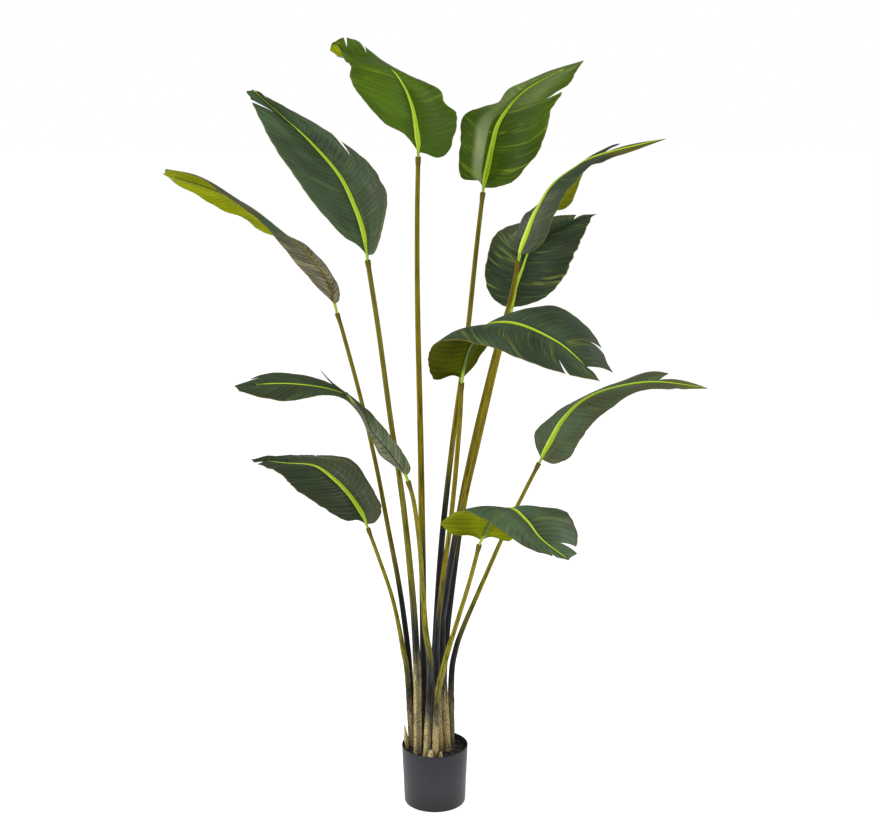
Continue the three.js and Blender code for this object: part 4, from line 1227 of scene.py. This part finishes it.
def band_finish(name, pale, full, shade, start=-1):
    """One colour, paler along one side, with a darker seam in the middle and at the edges.
    Before start, a share of the band's length, it is as dull as the dried blade."""
    finish, tree, shader = new_finish(name)
    across, along = sheet_place(tree)
    fibres = place_group(tree, GRAIN, {"Length": 22, "Fineness": 2.5})["Fibres"]
    from_seam, from_middle = (
        reckon("ABSOLUTE", reckon("SUBTRACT", across, at)) for at in (0.52, 0.5))
    colour = layered(pale, [
        (rising(across, 0.38, 0.5), 1, full),
        (rising(from_seam, 0.06, 0.01), 0.45, shade),
        (rising(from_middle, 0.4, 0.5), 0.6, shade),
        (rising(fibres, 0.55, 0.75), 0.3, shade),
        (rising(along, start + LATE_FADE, start), 1, LEAF_DRY),
    ])
    fill(shader, {
        "Base Color": colour,
        "Roughness": BAND_ROUGHNESS,
        "Specular IOR Level": BAND_SPECULAR,
        "Normal": bumps(fibres, *BAND_BUMP),
    })
    return finish


BANDS = {
    "lime": band_finish("lime_midrib_band", LIME_PALE, LIME, LIME_SHADE),
    "dry": band_finish("dry_midrib_band", OLD_GOLD, OLIVE, OLIVE_SHADE),
    "late": band_finish("late_midrib_band", LIME_PALE, LIME, LIME_SHADE, LATE_START),
}

rod_finish, tree, shader = new_finish("green_rib_rod")
fibres = place_group(tree, GRAIN, {"Length": 20, "Fineness": 2.2})["Fibres"]
green = blend_of(rising(fibres, 0.35, 0.65), ROD_GREEN, ROD_LIGHT)
fill(shader, {
    "Base Color": blend_of(rising(sheet_place(tree)[1], 0.1, 0.045), green, STUB_LIME),
    "Roughness": ROD_ROUGHNESS,
    "Normal": bumps(fibres, *ROD_BUMP),
})

for number, (blade, stalk) in enumerate(zip(BLADES, STALKS), 1):
    shares, _ = row_shares(blade, BAND_ROWS)
    band, flat = flat_sheet(f"midrib_{number:02d}", BAND_COLUMNS, BAND_ROWS)
    side, spent = flat[:, 0], rows_of(flat, BAND_ROWS) / BAND_ROWS
    rightwards, far = side > 0, spent * blade["reach"]
    half = BAND_TIP_HALF_WIDTH + (blade["rib"] - BAND_TIP_HALF_WIDTH) * (1 - spent ** 1.4) ** 1.2
    half = half * np.clip((1 - spent) / 0.05, 0.3, 1)
    start = STUB_RADIUS / blade["rib"]
    half = half * (start + (1 - start) * np.minimum(1, far / BAND_FULL_BY) ** 0.7)
    along = np.interp(far * BAND_ROWS, np.arange(BAND_ROWS + 1), shares)
    along = np.clip(along, *BAND_ENDS)
    _, _, width = on_blade(blade, rightwards, along, 0 * side)
    width = np.maximum(width * crossing(blade, rightwards, along), 1e-5)
    out = np.minimum(np.abs(side) * half / width, 0.9)
    points, facing, _ = on_blade(blade, rightwards, along, out)
    _, other, _ = on_blade(blade, ~rightwards, along, out)
    lean = unit(facing + other * (1 - np.abs(side))[:, None])
    crown = BAND_HEIGHT * (half / blade["rib"]) ** 0.5 * (1 - side ** 2) ** 0.5
    shape(band, points + lean * (crown + BLADE_THICKNESS)[:, None])
    thicken(band, BAND_THICKNESS, -1)
    band.data.materials.append(BANDS[blade.get("band", "lime")])
    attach(band, "root")

    places = np.clip(row_shares(blade, ROD_ROWS)[0][:-ROD_ENDS_BEFORE], 0.02, 1)
    spine, _ = smooth_line(blade["midrib"], places)
    left_up, right_up = (
        on_blade(blade, np.full(len(places), way), places, np.full(len(places), 0.04))[1]
        for way in (False, True))
    up = unit(left_up + right_up)
    fold = np.maximum(STEEPEST_FOLD, np.sum(up * left_up, axis=1))
    far = np.linspace(0, 1, len(places))
    thick = STUB_RADIUS + (ROD_TIP_RADIUS - STUB_RADIUS) * far
    thick = thick * (1 + ROD_FOOT_GAIN * np.exp(-(far / 0.1) ** 2))
    below = (BLADE_THICKNESS / 2 + thick * ROD_SUNK) / fold * np.minimum(1, far / ROD_SETTLES_BY)
    centres = spine - up * below[:, None]
    tip, heading = smooth_line(stalk["line"], np.array([1.0]))
    foot, neck = tip - heading * (SOCKET_DEPTH - SEAT_GAP), tip + heading * STUB_PAST_SOCKET
    path = np.vstack([foot, foot, neck, centres, centres[-1]])
    thick = np.concatenate([[0, STUB_RADIUS, STUB_RADIUS], thick, [0]])
    headings = np.vstack([heading, heading, heading, unit(np.gradient(centres, axis=0)),
                          unit(centres[-1:] - centres[-2:-1])])
    rod = rolled_tube(f"rib_{number:02d}", ROD_AROUND, path, headings, thick)
    rod.data.materials.append(rod_finish)
    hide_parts(f"leaf_{number:02d}_rib")
    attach(rod, "root")


# The husks
# Cut stubs of old leaf sheaths at the foot of the stalks, dry, tan and rough like bark: a
# pointed one at the left, a rounded one at the front and a small one at the right.

HUSK_AROUND = 26
HUSK_ROWS = 44
HUSK_LUMPS = 0.12
HUSK_KNOBS = 0.05
HUSK_STRETCH = (520, 520, 60)
HUSK_FLECKS = 330
HUSK_ROUGHNESS = 0.85
HUSK_BUMP = (0.8, 0.001)
HUSKS = [
    ("left", [(-0.072, 0.004, 0.118), (-0.077, 0.004, 0.176), (-0.081, 0.004, 0.209)],
     (0.0055, 0.005, 0.0012)),
    ("front", [(-0.01, -0.074, 0.118), (-0.011, -0.075, 0.157), (-0.011, -0.075, 0.173)],
     (0.007, 0.0085, 0.0045)),
    ("right", [(0.014, -0.064, 0.118), (0.016, -0.065, 0.15), (0.015, -0.065, 0.164)],
     (0.005, 0.005, 0.0025)),
]

husk_finish, tree, shader = new_finish("dry_husk")
place = add_node(tree, "TexCoord").outputs["Object"]
fibres = speckle(stretched(place, HUSK_STRETCH), 1, 4)
flecks = speckle(place, HUSK_FLECKS, 3)
bark = blend_of(rising(fibres, 0.36, 0.62), BARK_BROWN, BARK_TAN)
fill(shader, {
    "Base Color": blend_of(rising(flecks, 0.62, 0.7), bark, BARK_SLATE),
    "Roughness": HUSK_ROUGHNESS,
    "Normal": bumps(fibres, *HUSK_BUMP),
})

for seed, (name, line, radii) in enumerate(HUSKS, 1):
    shares = np.linspace(0, 1, HUSK_ROWS)
    centres, headings = smooth_line(line, shares)
    size = np.interp(shares, np.linspace(0, 1, len(radii)), radii)
    size = np.concatenate([[0], size, [0]])
    centres = np.vstack([centres[0], centres, centres[-1]])
    headings = np.vstack([headings[0], headings, headings[-1]])

    def husk_swell(turn, row):
        at = np.column_stack([np.cos(turn), np.sin(turn), centres[row][:, 2] * 60])
        return 1 + HUSK_LUMPS * lumps(at, 0.8, seed + 80) + HUSK_KNOBS * lumps(at, 0.3, seed + 90)

    husk = rolled_tube(f"husk_{name}_bark", HUSK_AROUND, centres, headings, size, husk_swell)
    husk.data.materials.append(husk_finish)
    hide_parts(f"husk_{name}")
    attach(husk, "root")


# The fibres on the soil
# Thin, pale, dry fibres of coir that curl out of the soil between the stalks and the rim,
# most of them at the right. They are loose in the soil's top.

FIBRE_COUNT = 26
FIBRE_RADIUS = 0.00035
FIBRE_AROUND = 5
FIBRE_ROWS = 9
FIBRE_MARGIN = 0.004
FIBRE_HOPS = (0.0, 0.0022, 0.0026, 0.0004)
FIBRE_REACH = (0.045, 0.074)
FIBRE_STEP = (0.004, 0.008)
FIBRE_BEND = 0.9
FIBRE_FLECKS = 240
FIBRE_ROUGHNESS = 0.8
FIBRE_STRAW = (0.34, 0.28, 0.1, 1)

fibre_finish, tree, shader = new_finish("straw_fibre")
shade = speckle(add_node(tree, "TexCoord").outputs["Object"], FIBRE_FLECKS, 2)
fill(shader, {
    "Base Color": blend_of(rising(shade, 0.4, 0.65), BARK_BROWN, FIBRE_STRAW),
    "Roughness": FIBRE_ROUGHNESS,
})

draw = random.Random(7)
fibres = []
for number in range(FIBRE_COUNT):
    turn = draw.gauss(-0.3, 0.9) if number % 3 else draw.uniform(0, 2 * math.pi)
    reach = draw.uniform(*FIBRE_REACH)
    spot = np.array([reach * math.cos(turn), reach * math.sin(turn), 0])
    way = draw.uniform(0, 2 * math.pi)
    step = draw.uniform(*FIBRE_STEP)
    line = []
    for hop in FIBRE_HOPS:
        way += draw.uniform(-FIBRE_BEND, FIBRE_BEND)
        spot = spot + np.array([step * math.cos(way), step * math.sin(way), 0])
        inside = spot * min(1, (SOIL_RADIUS - FIBRE_MARGIN) / np.linalg.norm(spot))
        line.append((inside[0], inside[1], soil_height(inside[None, :])[0] + hop))
    centres, headings = smooth_line(line, np.linspace(0, 1, FIBRE_ROWS))
    radii = np.concatenate([[0], np.full(FIBRE_ROWS - 2, FIBRE_RADIUS), [0]])
    fibres.append(rolled_tube(f"fibre_{number}", FIBRE_AROUND, centres, headings, radii))
join(fibres)
fibres = start_piece("soil_fibres")
fibres.data.materials.append(fibre_finish)
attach(fibres, "root")


# The studio
# A plain pale floor under a plain pale sky, a large soft key light from the upper left in
# front, and a weaker one from each side.

FLOOR_SIZE = 400
FLOOR_PALE = (0.8, 0.8, 0.8, 1)
FLOOR_GLOW = 0.62
SKY_LIGHT = 0.5
WHITE = (1, 1, 1, 1)
LIGHT_AIM = Vector((0, 0, 1.1))
LIGHTS = [
    ("key_light", (-2.6, -4.2, 4.2), 2.4, 130),
    ("left_light", (-3.6, 0.6, 2.2), 2.0, 60),
    ("right_light", (3.8, -0.4, 2.6), 2.0, 70),
]

deselect()
bpy.ops.mesh.primitive_plane_add(size=FLOOR_SIZE, location=(0, 0, 0))
floor = start_piece("floor")
floor_finish, _, shader = new_finish("pale_floor")
fill(shader, {
    "Base Color": FLOOR_PALE,
    "Roughness": 1,
    "Specular IOR Level": 0,
    "Emission Color": WHITE,
    "Emission Strength": FLOOR_GLOW,
})
floor.data.materials.append(floor_finish)

sky = bpy.data.worlds.new("pale_sky")
bpy.context.scene.world = sky
sky.use_nodes = True
tree = sky.node_tree
seen, cast = (add_node(tree, "Background", {"Color": WHITE, "Strength": strength}).outputs[0]
              for strength in (1.0, SKY_LIGHT))
straight = add_node(tree, "LightPath").outputs["Is Camera Ray"]
mixed = next_node("MixShader", {0: straight, 1: cast, 2: seen}).outputs[0]
fill(tree.nodes["World Output"], {"Surface": mixed})

for name, spot, size, watts in LIGHTS:
    lamp = bpy.data.lights.new(name, "AREA")
    lamp.size = size
    lamp.energy = watts
    holder = bpy.data.objects.new(name, lamp)
    holder.location = spot
    holder.rotation_euler = (LIGHT_AIM - Vector(spot)).to_track_quat("-Z", "Y").to_euler()
    bpy.context.scene.collection.objects.link(holder)

bpy.context.scene.view_settings.view_transform = "Standard"


# The camera
# It stands in front, a little higher than the upper leaves' stalks, and looks slightly down.

CAMERA_SPOT = (0.011, -3.5, 1.75)
CAMERA_PITCH = 11.1
CAMERA_LENS = 57.57
CAMERA_SENSOR = 36

eye = bpy.data.cameras.new("photo_view")
eye.lens = CAMERA_LENS
eye.sensor_width = CAMERA_SENSOR
camera = bpy.data.objects.new("photo_view", eye)
camera.location = CAMERA_SPOT
camera.rotation_euler = (math.radians(90 - CAMERA_PITCH), 0, 0)
bpy.context.scene.collection.objects.link(camera)
bpy.context.scene.camera = camera
